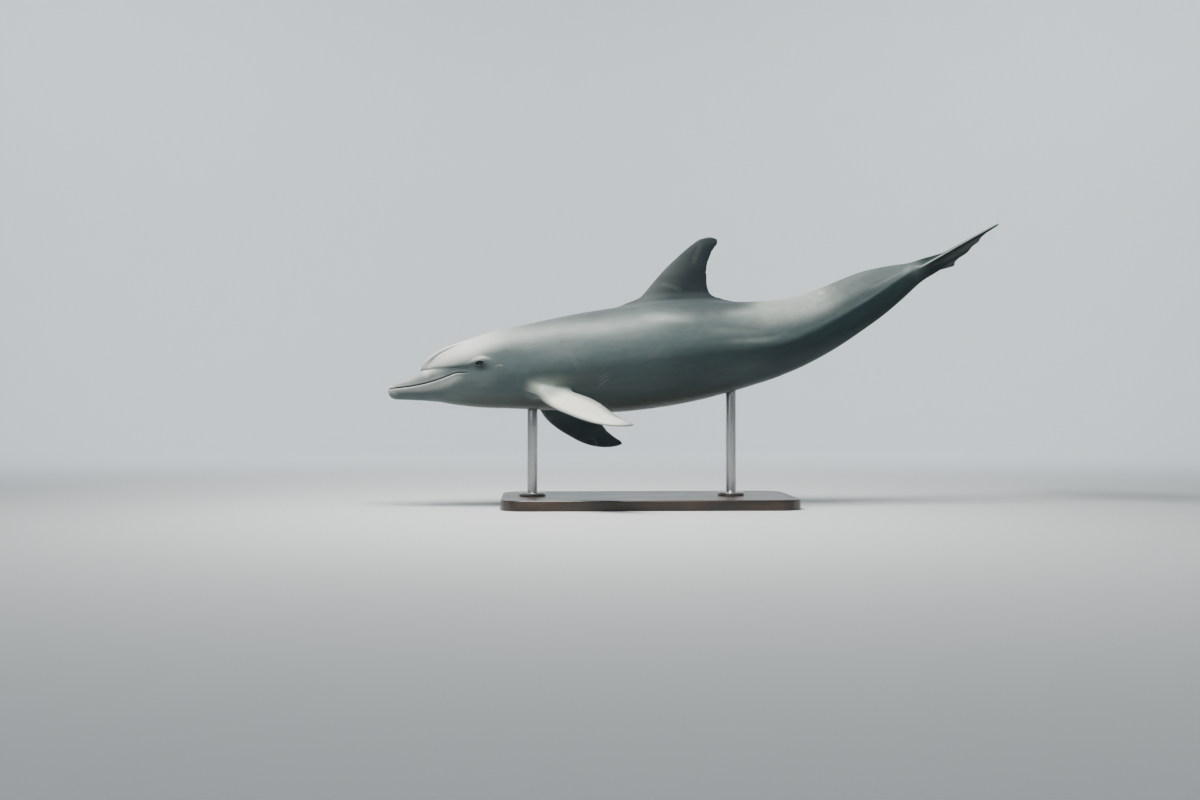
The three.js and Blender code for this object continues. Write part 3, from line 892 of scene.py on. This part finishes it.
lid_shade = hill(almond(eye_along, eye_up), 1.04, 0.14) * (np.hypot(eye_along, eye_up) < 40)
blow_stripe = hill(stripe_gap(at, side), 0, 5.5) * window(at, 140, 200, 250, 330) * (lift > 30)
blowhole_shade = hill(blowhole_distance(at, side), 0, 3.4)
blowhole_shade = blowhole_shade * (rise > 80) * (np.abs(at - BLOWHOLE["at"]) < 60)
ear_pit_shade = hill(np.hypot(at - EAR["at"], (lift - EAR["lift"]) * 2.1), 0, 2.4)
ear_streak = hill(at, EAR["at"] + 3, 13) * hill(lift - EAR["lift"], 2.2, 1.5)
# Painted shade in the cut of the mouth, in the fold under the front of the melon, round the lids,
# in the blowhole slit and in the ear pit. The dark patch round and below the eye is the animal's
# own mark with painted shade under the lids. The stripe from the fold to the eye and the stripe
# back to the blowhole are the animal's own.
mask("dark_marks", np.maximum.reduce([
    mouth_shade_line, 0.75 * melon_fold_shade, 0.55 * side_fold, 0.8 * eye_patch * near_eye,
    lid_shade * near_eye, 0.85 * blow_stripe, blowhole_shade, ear_pit_shade,
]))
# Painted highlights where light from above falls on the head: a bright band along the lower lip, a
# broader one down the side of the jaw, and pale patches on the top and sides of the beak, on the
# melon and on the brow over the eye. The pale tips of the jaws and the small streak by the ear are
# the animal's own marks.
jaw_depth = 20 + 24 * ease(40, 240, x)
jaw_highlight = ease(0, 3, -mouth_gap) * (1 - ease(0.35, 1.15, -mouth_gap / jaw_depth))
lips = np.maximum(0.44 * jaw_highlight, 0.95 * hill(mouth_gap, -5.5, 3.2))
lips = lips * window(x, 0, 30, 245, 310) * head
tips = (1 - ease(10, 46, at)) * hill(z, 9, 17)
brow = hill(eye_along, -2, 30) * hill(eye_up + 0.005 * eye_along**2, 19, 6) * near_eye
beak_flank_highlight = ease(2, 7, mouth_gap) * window(at, 4, 30, 195, 260) * ease(-30, 0, lift)
beak_patch = hill(at, 166, 24) * hill(lift, 30, 26) + hill(at, 14, 14) * ease(-20, 10, lift)
beak_highlight = 0.9 * np.clip(beak_patch, 0, 1) * (mouth_gap > 0) * head
melon_highlight = window(at, 140, 165, 250, 600) * ease(12, 42, lift - 0.5 * top_light_start)
pale = np.maximum.reduce([
    lips, 0.85 * tips, 0.85 * brow, 0.24 * beak_flank_highlight, beak_highlight, 0.85 * melon_highlight,
    0.15 * ear_streak,
])
mask("pale_marks", pale * (1 - mouth_shade_line))

# %% Masks of the fins and scars
flipper_part = fin_part * ((at < 1080) & (rise < 40))
dorsal_part = ease(-2, 14, height_over_body) * ((rise > 120) & (at > 800) & (at < 1480))
fluke_part = ease(2130, 2230, at)
face_up, heart, fluke_edge_highlight = np.zeros((3, len(at)))
for part, here in (("left", side < 0), ("right", side >= 0)):
    fin = FINS["flipper_" + part]
    span, chord, height = fin.places(local[here])
    lead, trail = fin.lead(span), fin.trail(span)
    share = (chord - lead) / np.maximum(trail - lead, 5)
    flipper_up = ease(-3, 4, height * np.sign(fin.normal[2]))
    heart[here] = window(span, 30, 95, 330, 430) * window(share, -0.1, 0.12, 0.62, 0.98)
    fin = FINS["fluke_" + part]
    span, chord, height = fin.places(local[here])
    fluke_up = ease(-2, 4, height * np.sign(fin.normal[2]))
    from_edge = chord - fin.lead(np.clip(span, 0, fin.last))
    # Painted highlight along the upper leading edge of each fluke, where light from above catches
    # it.
    fluke_edge_highlight[here] = hill(from_edge, 1.5, 3.5) * fluke_up * ease(0, 30, span)
    face_up[here] = np.where(at[here] > 1500, fluke_up, flipper_up)
# Painted highlight: a pale patch where light from above falls on the shoulder at each flipper
# root.
shoulder = hill(at, 640, 56) * hill(lift, -30, 6.5)
# Painted light and shade: the upper face of each flipper is painted pale and its middle near
# white, as lit from above, and the underside dark, as shaded; the live flipper is dark grey.
mask("flipper_top", np.maximum(flipper_part * face_up, 0.38 * shoulder))
mask("flipper_heart", flipper_part * face_up * heart)
mask("flipper_below", flipper_part * (1 - face_up))
# The dorsal fin and the flukes are dark grey on the live animal; the flukes are painted near black
# all over, which adds painted shade to their undersides.
mask("fluke_and_dorsal", np.maximum(dorsal_part, fluke_part))
span, chord, _ = FINS["dorsal"].places(local)
from_edge = chord - FINS["dorsal"].lead(np.clip(span, 0, FINS["dorsal"].last))
# Painted highlight: the front of the dorsal fin, lowest down, is painted lighter, where light
# catches its leading edge.
dorsal_front_highlight = (1 - ease(10, 150, from_edge)) * (1 - 0.7 * ease(60, 240, span)) * dorsal_part
mask("fin_light", np.maximum(0.12 * dorsal_front_highlight, fluke_edge_highlight * fluke_part))
scars = scars_at(at, turn_of, from_middle, 1.3)
mask("scars", sum(share for depth, share in scars if depth < -2))
store(skin, "place", np.stack([at, side, rise], -1) * MM)

# %% [markdown]
# ## Sums and node groups shared by the finishes
# Soft mottling shows on the skin, the eyes, the lacquer and the steel alike, and fine
# scratches on the lacquer and the steel, each at its own scale, so they are built once as
# groups with named sockets. A group hands out only masks and values; each material
# decides what colour and gloss to make of them.

# %% Wires that can be added and multiplied
def plug(socket, value):
    """Feeds a socket with another one, a number, a vector or a colour."""
    if isinstance(value, Wire):
        socket.id_data.links.new(value.socket, socket)
    elif isinstance(value, tuple) and socket.type == "RGBA":
        socket.default_value = (*value, 1)
    else:
        socket.default_value = value


def add(tree, kind, inputs, output=0, **settings):
    """Adds a node, sets it up, feeds it, and hands back one of its outputs."""
    made = tree.nodes.new("ShaderNode" + kind)
    for key, value in settings.items():
        setattr(made, key, value)
    for key, value in inputs.items():
        plug(made.inputs[key], value)
    return Wire(made.outputs[output])


class Wire:
    """An output of a node. Each sum with it adds a Math node to its tree."""

    def __init__(self, socket):
        self.socket = socket

    def math(self, operation, other=0.0, swap=False):
        pair = (other, self) if swap else (self, other)
        return add(self.socket.id_data, "Math", dict(enumerate(pair)), operation=operation)

    def clamped(self):
        self.socket.node.use_clamp = True
        return self

    def sibling(self, output):
        return Wire(self.socket.node.outputs[output])

    def __add__(self, other):
        return self.math("ADD", other)

    def __sub__(self, other):
        return self.math("SUBTRACT", other)

    def __rsub__(self, other):
        return self.math("SUBTRACT", other, swap=True)

    def __mul__(self, other):
        return self.math("MULTIPLY", other)

    def __truediv__(self, other):
        return self.math("DIVIDE", other)

    def __abs__(self):
        return self.math("ABSOLUTE")


def read(tree, name, output="Fac"):
    return add(tree, "Attribute", {}, output, attribute_name=name)


def mix(tree, amount, a, b, blend="MIX"):
    colours = {0: amount, 6: a, 7: b}
    return add(tree, "Mix", colours, 2, data_type="RGBA", blend_type=blend)


def bump(tree, height, strength, distance):
    return add(tree, "Bump", {"Height": height, "Strength": strength, "Distance": distance})


# %% Groups: soft mottling and fine scratches
def group(name, more, output):
    """A group that takes a place, its stretch, a size and some more numbers."""
    tree = bpy.data.node_groups.new(name, "ShaderNodeTree")
    sockets = {"Place": (0, 0, 0), "Stretch": (1, 1, 1), "Size": 10.0, **more}
    for label, default in sockets.items():
        kind = "NodeSocketVector" if isinstance(default, tuple) else "NodeSocketFloat"
        tree.interface.new_socket(label, socket_type=kind).default_value = default
    tree.interface.new_socket(output, in_out="OUTPUT", socket_type="NodeSocketFloat")
    given = tree.nodes.new("NodeGroupInput").outputs
    given = {label: Wire(given[label]) for label in sockets}
    scaled = {0: given["Place"], 1: given["Stretch"]}
    given["Scaled"] = add(tree, "VectorMath", scaled, operation="MULTIPLY")
    return tree, given, tree.nodes.new("NodeGroupOutput").inputs[output]


def mottling():
    tree, given, out = group("Soft mottling", {"Contrast": 1.0}, "Value")
    noise = {"Vector": given["Scaled"], "Scale": given["Size"], "Detail": 5, "Roughness": 0.55}
    spread_out = (add(tree, "TexNoise", noise) - 0.5) * given["Contrast"]
    plug(out, (spread_out + 0.5).clamped())
    return tree


def scratching():
    tree, given, out = group("Fine scratches", {"Width": 0.02, "Amount": 0.5}, "Mask")
    noise = {"Vector": given["Scaled"], "Scale": given["Size"], "Detail": 1}
    thin = (1 - abs(add(tree, "TexNoise", noise) - 0.5) / given["Width"]).clamped()
    patches = add(tree, "TexNoise", {"Vector": given["Place"], "Scale": 5})
    plug(out, thin * ((patches - (1 - given["Amount"])) * 8).clamped())
    return tree


MOTTLING, SCRATCHES = mottling(), scratching()
print("node groups:", MOTTLING.name, "and", SCRATCHES.name)

# %% Helpers for materials
def use_group(tree, which, place, stretch, size, **values):
    made = tree.nodes.new("ShaderNodeGroup")
    made.node_tree = which
    for key, value in {"Place": place, "Stretch": stretch, "Size": size, **values}.items():
        plug(made.inputs[key], value)
    return Wire(made.outputs[0])


def new_material(name):
    material = bpy.data.materials.new(name)
    material.use_nodes = True
    return material, material.node_tree


def finish(tree, values):
    shader = tree.nodes["Principled BSDF"]
    for key, value in values.items():
        plug(shader.inputs[key], value)


# %% [markdown]
# ## Skin paint
# Live skin feels like wet rubber: smooth, satin, with faint clouds of tone that run along
# the body, thin pale tooth scratches from other dolphins, and a fine grain. The paint
# starts from the flank grey and lays cape, belly, fins and marks over it by their masks.
# Many of these layers are painted light and painted shade: a pale top, a dark low flank
# and belly, lit and shaded flipper faces, and highlights and shade on the head.

# %% Tooth rakes
RAKE = {"cells": 5.5, "spacing": 0.0062, "width": 0.13, "lines": 1.6, "long": 0.05, "share": 0.45}


def tooth_rakes(tree, place):
    """Short sets of three parallel scratches, each set turned its own way."""
    cells = {"Vector": place, "Scale": RAKE["cells"]}
    centre = add(tree, "TexVoronoi", cells, "Position")
    offset = add(tree, "VectorMath", {0: place, 1: centre}, operation="SUBTRACT")
    along = add(tree, "SeparateXYZ", {0: offset})
    across = along.sibling(1) + along.sibling(2)
    chance = add(tree, "SeparateColor", {0: centre.sibling("Color")})
    angle = (chance - 0.5) * 2.2
    c, s = angle.math("COSINE"), angle.math("SINE")
    run, step = along * c + across * s, (across * c - along * s) / RAKE["spacing"]
    line = (1 - abs(step - step.math("ROUND")) / RAKE["width"]).clamped()
    few = abs(step).math("LESS_THAN", RAKE["lines"])
    fade = (chance.sibling(1) + 0.2 - abs(run) / RAKE["long"]).clamped()
    chosen = chance.sibling(2).math("LESS_THAN", RAKE["share"])
    return line * few * chosen * (fade * 2).clamped()


print("rake sets are about", round(1000 / RAKE["cells"]), "mm apart")

# %% Skin material
# LIGHT is the pale grey of the painted light on the top of the body; the cheek takes a little of
# it too.
FLANK, LIGHT, SCAR = (0.092, 0.122, 0.124), (0.37, 0.40, 0.375), (0.42, 0.42, 0.38)
COATS = [
    # painted light on the top of the body, with painted highlight streaks
    ("upper_light", 1, LIGHT),
    ("cape", 0.9, (0.043, 0.056, 0.059)),
    ("cheek", 0.14, LIGHT),
    # painted shade on the low flank
    ("low_flank", 1, (0.022, 0.037, 0.041)),
    # painted shade on the belly
    ("belly", 1, (0.068, 0.078, 0.071)),
    # dark fins, with painted shade on the undersides of the flukes
    ("fluke_and_dorsal", 1, (0.010, 0.019, 0.022)),
    # painted highlights on the fin edges
    ("fin_light", 1, (0.36, 0.40, 0.38)),
    # lit and shaded faces of the flippers: painted shade below, painted light above
    ("flipper_below", 1, (0.060, 0.080, 0.084)),
    ("flipper_top", 1, (0.35, 0.38, 0.33)),
    ("flipper_heart", 1, (0.80, 0.79, 0.70)),
]
MARKS = [
    # painted highlights on lips, beak, melon and brow, with the pale jaw tips and ear streak of
    # the animal
    ("pale_marks", 1, (0.76, 0.77, 0.71)),
    # painted shade in the mouth, folds, lids and pits, with the animal's dark stripes and eye
    # patch
    ("dark_marks", 1, (0.014, 0.023, 0.028)),
    ("scars", 0.6, SCAR),
]
skin_paint, tree = new_material("dolphin_skin_paint")
where = read(tree, "place", "Vector")
colour = FLANK
for name, strength, paint in COATS:
    colour = mix(tree, read(tree, name) * strength, colour, paint)
clouds = use_group(tree, MOTTLING, where, (1.2, 7, 7), 2.2, Contrast=2.2)
tint = mix(tree, clouds, (0.10, 0.12, 0.12), (0.62, 0.64, 0.60))
colour = mix(tree, 0.34, colour, tint, "OVERLAY")
blotches = use_group(tree, MOTTLING, where, (3, 6, 6), 9.0, Contrast=2.0)
tint = mix(tree, blotches, (0.22, 0.22, 0.22), (0.78, 0.78, 0.76))
colour = mix(tree, 0.16, colour, tint, "OVERLAY")
for name, strength, paint in MARKS:
    colour = mix(tree, read(tree, name) * strength, colour, paint)
rakes = tooth_rakes(tree, where)
grain = use_group(tree, MOTTLING, where, (1, 1, 1), 420.0, Contrast=1.0)
finish(tree, {
    "Base Color": mix(tree, rakes * 0.25, colour, SCAR),
    "Roughness": blotches * 0.18 + 0.36 + read(tree, "fluke_and_dorsal") * 0.35,
    "Normal": bump(tree, grain + rakes * -0.8, 0.25, 0.0006),
    "Specular IOR Level": 0.28,
})
skin.data.materials.clear()
skin.data.materials.append(skin_paint)
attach(skin, "root")
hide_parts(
    "lower_jaw", "upper_beak", "melon", "head", "trunk", "tail_stock", "dorsal_fin",
    "flipper_left", "flipper_right", "fluke_left", "fluke_right",
)
print("skin material:", len(tree.nodes), "nodes")

# %% [markdown]
# ## Eyes
# A dolphin's eye is dark brown and always wet. Its pupil closes to a horseshoe, because a
# flap hangs down from its upper edge. Makers turn the eyeball in glass and paint the iris
# behind it. Here it is a flattened ball with a raised cornea, in the same place and of the
# same size as the solid one, and the painted rings are masks on its points.

# %% Eyeballs
CORNEA = 0.9


def eyeball(name, side, rings=48, around=96):
    theta = np.linspace(0, np.pi, rings + 1)[1:-1][:, None]
    phi = (2 * np.pi * np.arange(around) / around)[None, :]
    flat = np.sin(theta)
    ball = np.stack([flat * np.cos(phi), flat * np.sin(phi), np.cos(theta) + 0 * phi], -1)
    ball = ball * [EYE["long"], EYE["high"], EYE["deep"]]
    ball[..., 2] += CORNEA * (1 - ease(0.35, 0.62, theta))
    shape, faces = tube(ball, [0, 0, EYE["deep"] + CORNEA], [0, 0, -EYE["deep"]])
    points = (EYE_CENTRE + shape @ EYE_AXES) * [1, side, 1]
    piece = make_mesh(name, bank(points), [f[::-1] for f in faces] if side < 0 else faces)
    piece.data.shade_smooth()
    long, up, out = shape.T
    iris = (1 - ease(7.6, 8.8, np.hypot(long, up))) * (out > 0)
    pupil = (1 - ease(0.82, 1.08, np.hypot(long / 5.4, (up + 0.4) / 3.8))) * (out > 0)
    flap = (1 - ease(0.8, 1.1, np.hypot(long / 3.2, (up - 2.2) / 2.7))) * (out > 0)
    store(piece, "on_eye", shape * MM)
    store(piece, "iris", iris)
    store(piece, "pupil", pupil * (1 - flap))
    return piece


glass, tree = new_material("wet_eye_glass")
on_eye = read(tree, "on_eye", "Vector")
fibres = use_group(tree, MOTTLING, on_eye, (1, 1, 0.2), 900.0, Contrast=2.4)
white = mix(tree, fibres, (0.030, 0.026, 0.024), (0.075, 0.064, 0.058))
brown = mix(tree, fibres, (0.014, 0.010, 0.008), (0.060, 0.038, 0.022))
colour = mix(tree, read(tree, "iris"), white, brown)
finish(tree, {
    "Base Color": mix(tree, read(tree, "pupil"), colour, (0.004, 0.006, 0.008)),
    "Roughness": 0.16, "Coat Weight": 1.0, "Coat Roughness": 0.03,
})
for name, side, node_name in (("left_eyeball", -1, "eye_left"), ("right_eyeball", 1, "eye_right")):
    eye = eyeball(name, side)
    eye.data.materials.append(glass)
    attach(eye, "root")
    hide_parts(node_name)
    print(name, "centre", [round(c, 3) for c in coordinates(eye.data).mean(0)])

# %% [markdown]
# ## The stand
# A swimmer touches nothing, so the model stands on two turned steel rods screwed to a
# stained board. The board is a slab of wood with rounded corners and a rounded upper edge,
# and a thin line routed round its top. The rods are turned on a lathe with a flange, three
# screws hold each flange, and the top of each rod is filed to the curve of the belly.

# %% Board
BASE = {"long": 1140, "wide": 560, "thick": 40, "corner": 90, "edge": 6}


def arc(x, y, radius, start, end, count):
    """Points on an arc between two angles in degrees."""
    turns = [math.radians(a) for a in np.linspace(start, end, count)]
    return [(x + radius * math.cos(a), y + radius * math.sin(a)) for a in turns]


def board_outline(inset):
    x, y = BASE["long"] / 2 - BASE["corner"], BASE["wide"] / 2 - BASE["corner"]
    corners = ((x, -y, -90), (x, y, 0), (-x, y, 90), (-x, -y, 180))
    radius = BASE["corner"] - inset
    return [p for cx, cy, a in corners for p in arc(cx, cy, radius, a, a + 90, 21)]


def board():
    edge, thick = BASE["edge"], BASE["thick"]
    levels = [(3, 0), (1, 0.6), (0, 3)] + arc(edge, thick - edge, edge, 180, 90, 9)
    levels += [(26, thick), (27.5, thick - 1.8), (29.5, thick - 1.8), (31, thick)]
    points = np.array([(x, y, z) for inset, z in levels for x, y in board_outline(inset)])
    count = len(points) // len(levels)
    faces = tuples(ring_faces(0, len(levels), count))
    faces += [tuple(range(count))[::-1], tuple(range(len(points) - count, len(points)))]
    return make_mesh("stand_board", points * MM, faces)


wood, tree = new_material("stained_board")
spot = add(tree, "TexCoord", {}, "Object")
squash = add(tree, "VectorMath", {0: spot, 1: (0.22, 1, 1)}, operation="MULTIPLY")
waves = {"Vector": squash, "Scale": 9, "Distortion": 7, "Detail": 3, "Detail Scale": 0.7}
years = add(tree, "TexWave", waves, "Fac", wave_type="BANDS", bands_direction="Y")
pores = use_group(tree, MOTTLING, spot, (6, 160, 160), 4.0, Contrast=2.6)
handling = use_group(tree, MOTTLING, spot, (1, 1, 1), 5.0, Contrast=1.6)
rubs = use_group(tree, SCRATCHES, spot, (2, 1, 1), 16.0, Width=0.004, Amount=0.5)
colour = mix(tree, years, (0.020, 0.012, 0.008), (0.075, 0.042, 0.024))
finish(tree, {
    "Base Color": mix(tree, pores * 0.55, colour, (0.014, 0.009, 0.006)),
    "Roughness": handling * 0.14 + 0.30 + rubs * 0.25,
    "Normal": bump(tree, pores, 0.3, 0.0004),
    "Coat Weight": 0.25, "Coat Roughness": 0.2,
})
base = board()
base.data.materials.append(wood)
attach(base, "root")
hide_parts("stand_base")
print("board:", len(base.data.polygons), "faces")

# %% Rods
ROD = {"radius": 20, "foot": 52, "height": 14, "screws": 38}
skin_tree = tree_of(coordinates(skin.data), [tuple(p.vertices) for p in skin.data.polygons])


def belly_height(px, py):
    hit = skin_tree.ray_cast(Vector((px * MM, py * MM, BASE["thick"] * MM)), Vector((0, 0, 1)))
    return hit[0].z / MM


def lathe(profile, x, y, around):
    """Rings round an upright axis, from pairs of a radius and a height."""
    phi = 2 * np.pi * np.arange(around) / around
    circle = np.stack([np.cos(phi), np.sin(phi), 0 * phi], -1)
    return [circle * r + [x, y, height] for r, height in profile]


def rod(x, around=96):
    r, foot, height = ROD["radius"], ROD["foot"], ROD["height"]
    profile = [(foot - 1, 0), (foot, 1)] + arc(foot - 3, height - 3, 3, 0, 90, 7)
    profile += arc(r + 7, height + 7, 7, 270, 180, 9) + [(r, 80), (r, 160), (r, 260)]
    rings = lathe([(q, BASE["thick"] + h) for q, h in profile], x, 0, around)
    for q, down in ((r, 2.5), (r - 0.7, 0.7), (r - 2.5, -1)):
        ring = lathe([(q, 0)], x, 0, around)[0]
        ring[:, 2] = [belly_height(px, py) - down for px, py, _ in ring]
        rings.append(ring)
    return tube(rings, [x, 0, BASE["thick"]], [x, 0, belly_height(x, 0) + 1])


def screw_head(x, y, z, around=32):
    profile = [(5.5, 0), (5.5, 0.8), (4.5, 1.6), (3.1, 1.9), (2.6, 1.9), (2.3, 0.4)]
    rings = lathe([(q, z + h) for q, h in profile], x, y, around)
    six_sides = np.where(np.arange(around) * 6 // around % 2, 0.93, 1.0)[:, None]
    for ring in rings[-2:]:
        ring[:, :2] = [x, y] + (ring[:, :2] - [x, y]) * six_sides
    return tube(rings, [x, y, z], [x, y, z + 0.4])


def rod_piece(name, x):
    points, faces = rod(x)
    for angle in np.radians([30, 150, 270]):
        place = x + ROD["screws"] * np.cos(angle), ROD["screws"] * np.sin(angle)
        more, added = screw_head(*place, BASE["thick"] + ROD["height"] - 0.2)
        faces += [tuple(v + len(points) for v in face) for face in added]
        points = np.vstack([points, more])
    piece = make_mesh(name, points * MM, faces)
    piece.data.shade_smooth()
    return piece


steel, tree = new_material("brushed_rod_steel")
spot = add(tree, "TexCoord", {}, "Object")
brushing = use_group(tree, MOTTLING, spot, (1, 1, 26), 60.0, Contrast=1.6)
smears = use_group(tree, MOTTLING, spot, (1, 1, 0.5), 14.0, Contrast=1.8)
scuffs = use_group(tree, SCRATCHES, spot, (1, 1, 3), 30.0, Width=0.01, Amount=0.5)
finish(tree, {
    "Base Color": mix(tree, smears, (0.50, 0.50, 0.49), (0.64, 0.64, 0.63)),
    "Roughness": brushing * 0.16 + 0.22 + scuffs * 0.12,
    "Normal": bump(tree, brushing, 0.15, 0.0003),
    "Metallic": 1.0,
})
for name, x, node_name in (
    ("stand_front_rod", -450, "stand_rod_front"), ("stand_rear_rod", 330, "stand_rod_rear"),
):
    piece = rod_piece(name, x)
    piece.data.materials.append(steel)
    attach(piece, "root")
    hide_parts(node_name)
    print(name, "meets the belly", round(belly_height(x, 0)), "mm over the floor")

# %% [markdown]
# ## Floor, light and camera
# A plain pale sweep that curves up all round keeps the eye on the model from every side.
# The key light is one small soft box overhead, a little to the left, so that the melon,
# back and tail are bright and the belly falls into shade. A weak box fills the shade, and
# two more wash the wall behind.

# %% Floor
def sweep(radius=9.0, bend=2.5, height=9.0, around=128):
    profile = [(0.5 * i, 0.0) for i in range(1, int((radius - bend) / 0.5) + 1)]
    first = math.degrees(0.08) - 90
    profile += arc(radius - bend, bend, bend, first, 0, 16) + [(radius, height)]
    points = np.vstack([np.zeros((1, 3))] + lathe(profile, 0, 0, around))
    wall = ring_faces(1, len(profile), around)[:, ::-1]
    piece = make_mesh("studio_floor", points, tuples(fan(1 + np.arange(around), 0), wall))
    piece.data.shade_smooth()
    return piece


floor = sweep()
paper, tree = new_material("studio_paper")
spot = add(tree, "TexCoord", {}, "Object")
fleck = use_group(tree, MOTTLING, spot, (1, 1, 1), 3.0, Contrast=1.0)
pale_grey = mix(tree, fleck, (0.66, 0.68, 0.69), (0.69, 0.71, 0.72))
finish(tree, {"Base Color": pale_grey, "Roughness": 0.9})
floor.data.materials.append(paper)

# %% Lights
def soft_box(name, place, aim, size, power, tint):
    lamp = bpy.data.lights.new(name, "AREA")
    lamp.shape, lamp.size, lamp.size_y = "RECTANGLE", size[0], size[1]
    lamp.energy, lamp.color = power, tint
    made = bpy.data.objects.new(name, lamp)
    bpy.context.scene.collection.objects.link(made)
    made.location = place
    made.rotation_euler = (Vector(aim) - Vector(place)).to_track_quat("-Z", "Y").to_euler()
    print(name, power, "W")


soft_box("key_box", (-0.55, -0.65, 2.75), (0.1, 0, 0.55), (1.6, 0.7), 155, (1, 0.985, 0.95))
soft_box("fill_box", (-3.2, -4.5, 2.4), (0, 0, 0.5), (2.5, 2.5), 12, (0.86, 0.95, 1))
for name, x, aim_x in (("left_wall_wash", -3, -2.5), ("right_wall_wash", 3, 2.5)):
    soft_box(name, (x, 3.4, 4.6), (aim_x, 8.8, 1.2), (3, 1), 260, (0.92, 0.97, 1))
world = bpy.data.worlds.new("studio_air")
bpy.context.scene.world = world
world.use_nodes = True
air = world.node_tree.nodes["Background"].inputs
air["Color"].default_value, air["Strength"].default_value = (0.80, 0.90, 0.95, 1), 0.3

# %% Camera
AIM = Vector((-0.18525, 0.0, 0.41484))
CAMERA_AWAY, CAMERA_ROUND = 5.488, math.radians(-2.5)
camera_data = bpy.data.cameras.new("camera")
camera_data.lens, camera_data.sensor_width = 42, 36
camera = bpy.data.objects.new("camera", camera_data)
bpy.context.scene.collection.objects.link(camera)
away = Vector((math.sin(CAMERA_ROUND), -math.cos(CAMERA_ROUND), 0))
camera.location = AIM + away * CAMERA_AWAY
camera.rotation_euler = (-away).to_track_quat("-Z", "Y").to_euler()
bpy.context.scene.camera = camera
print("camera at", [round(c, 3) for c in camera.location])
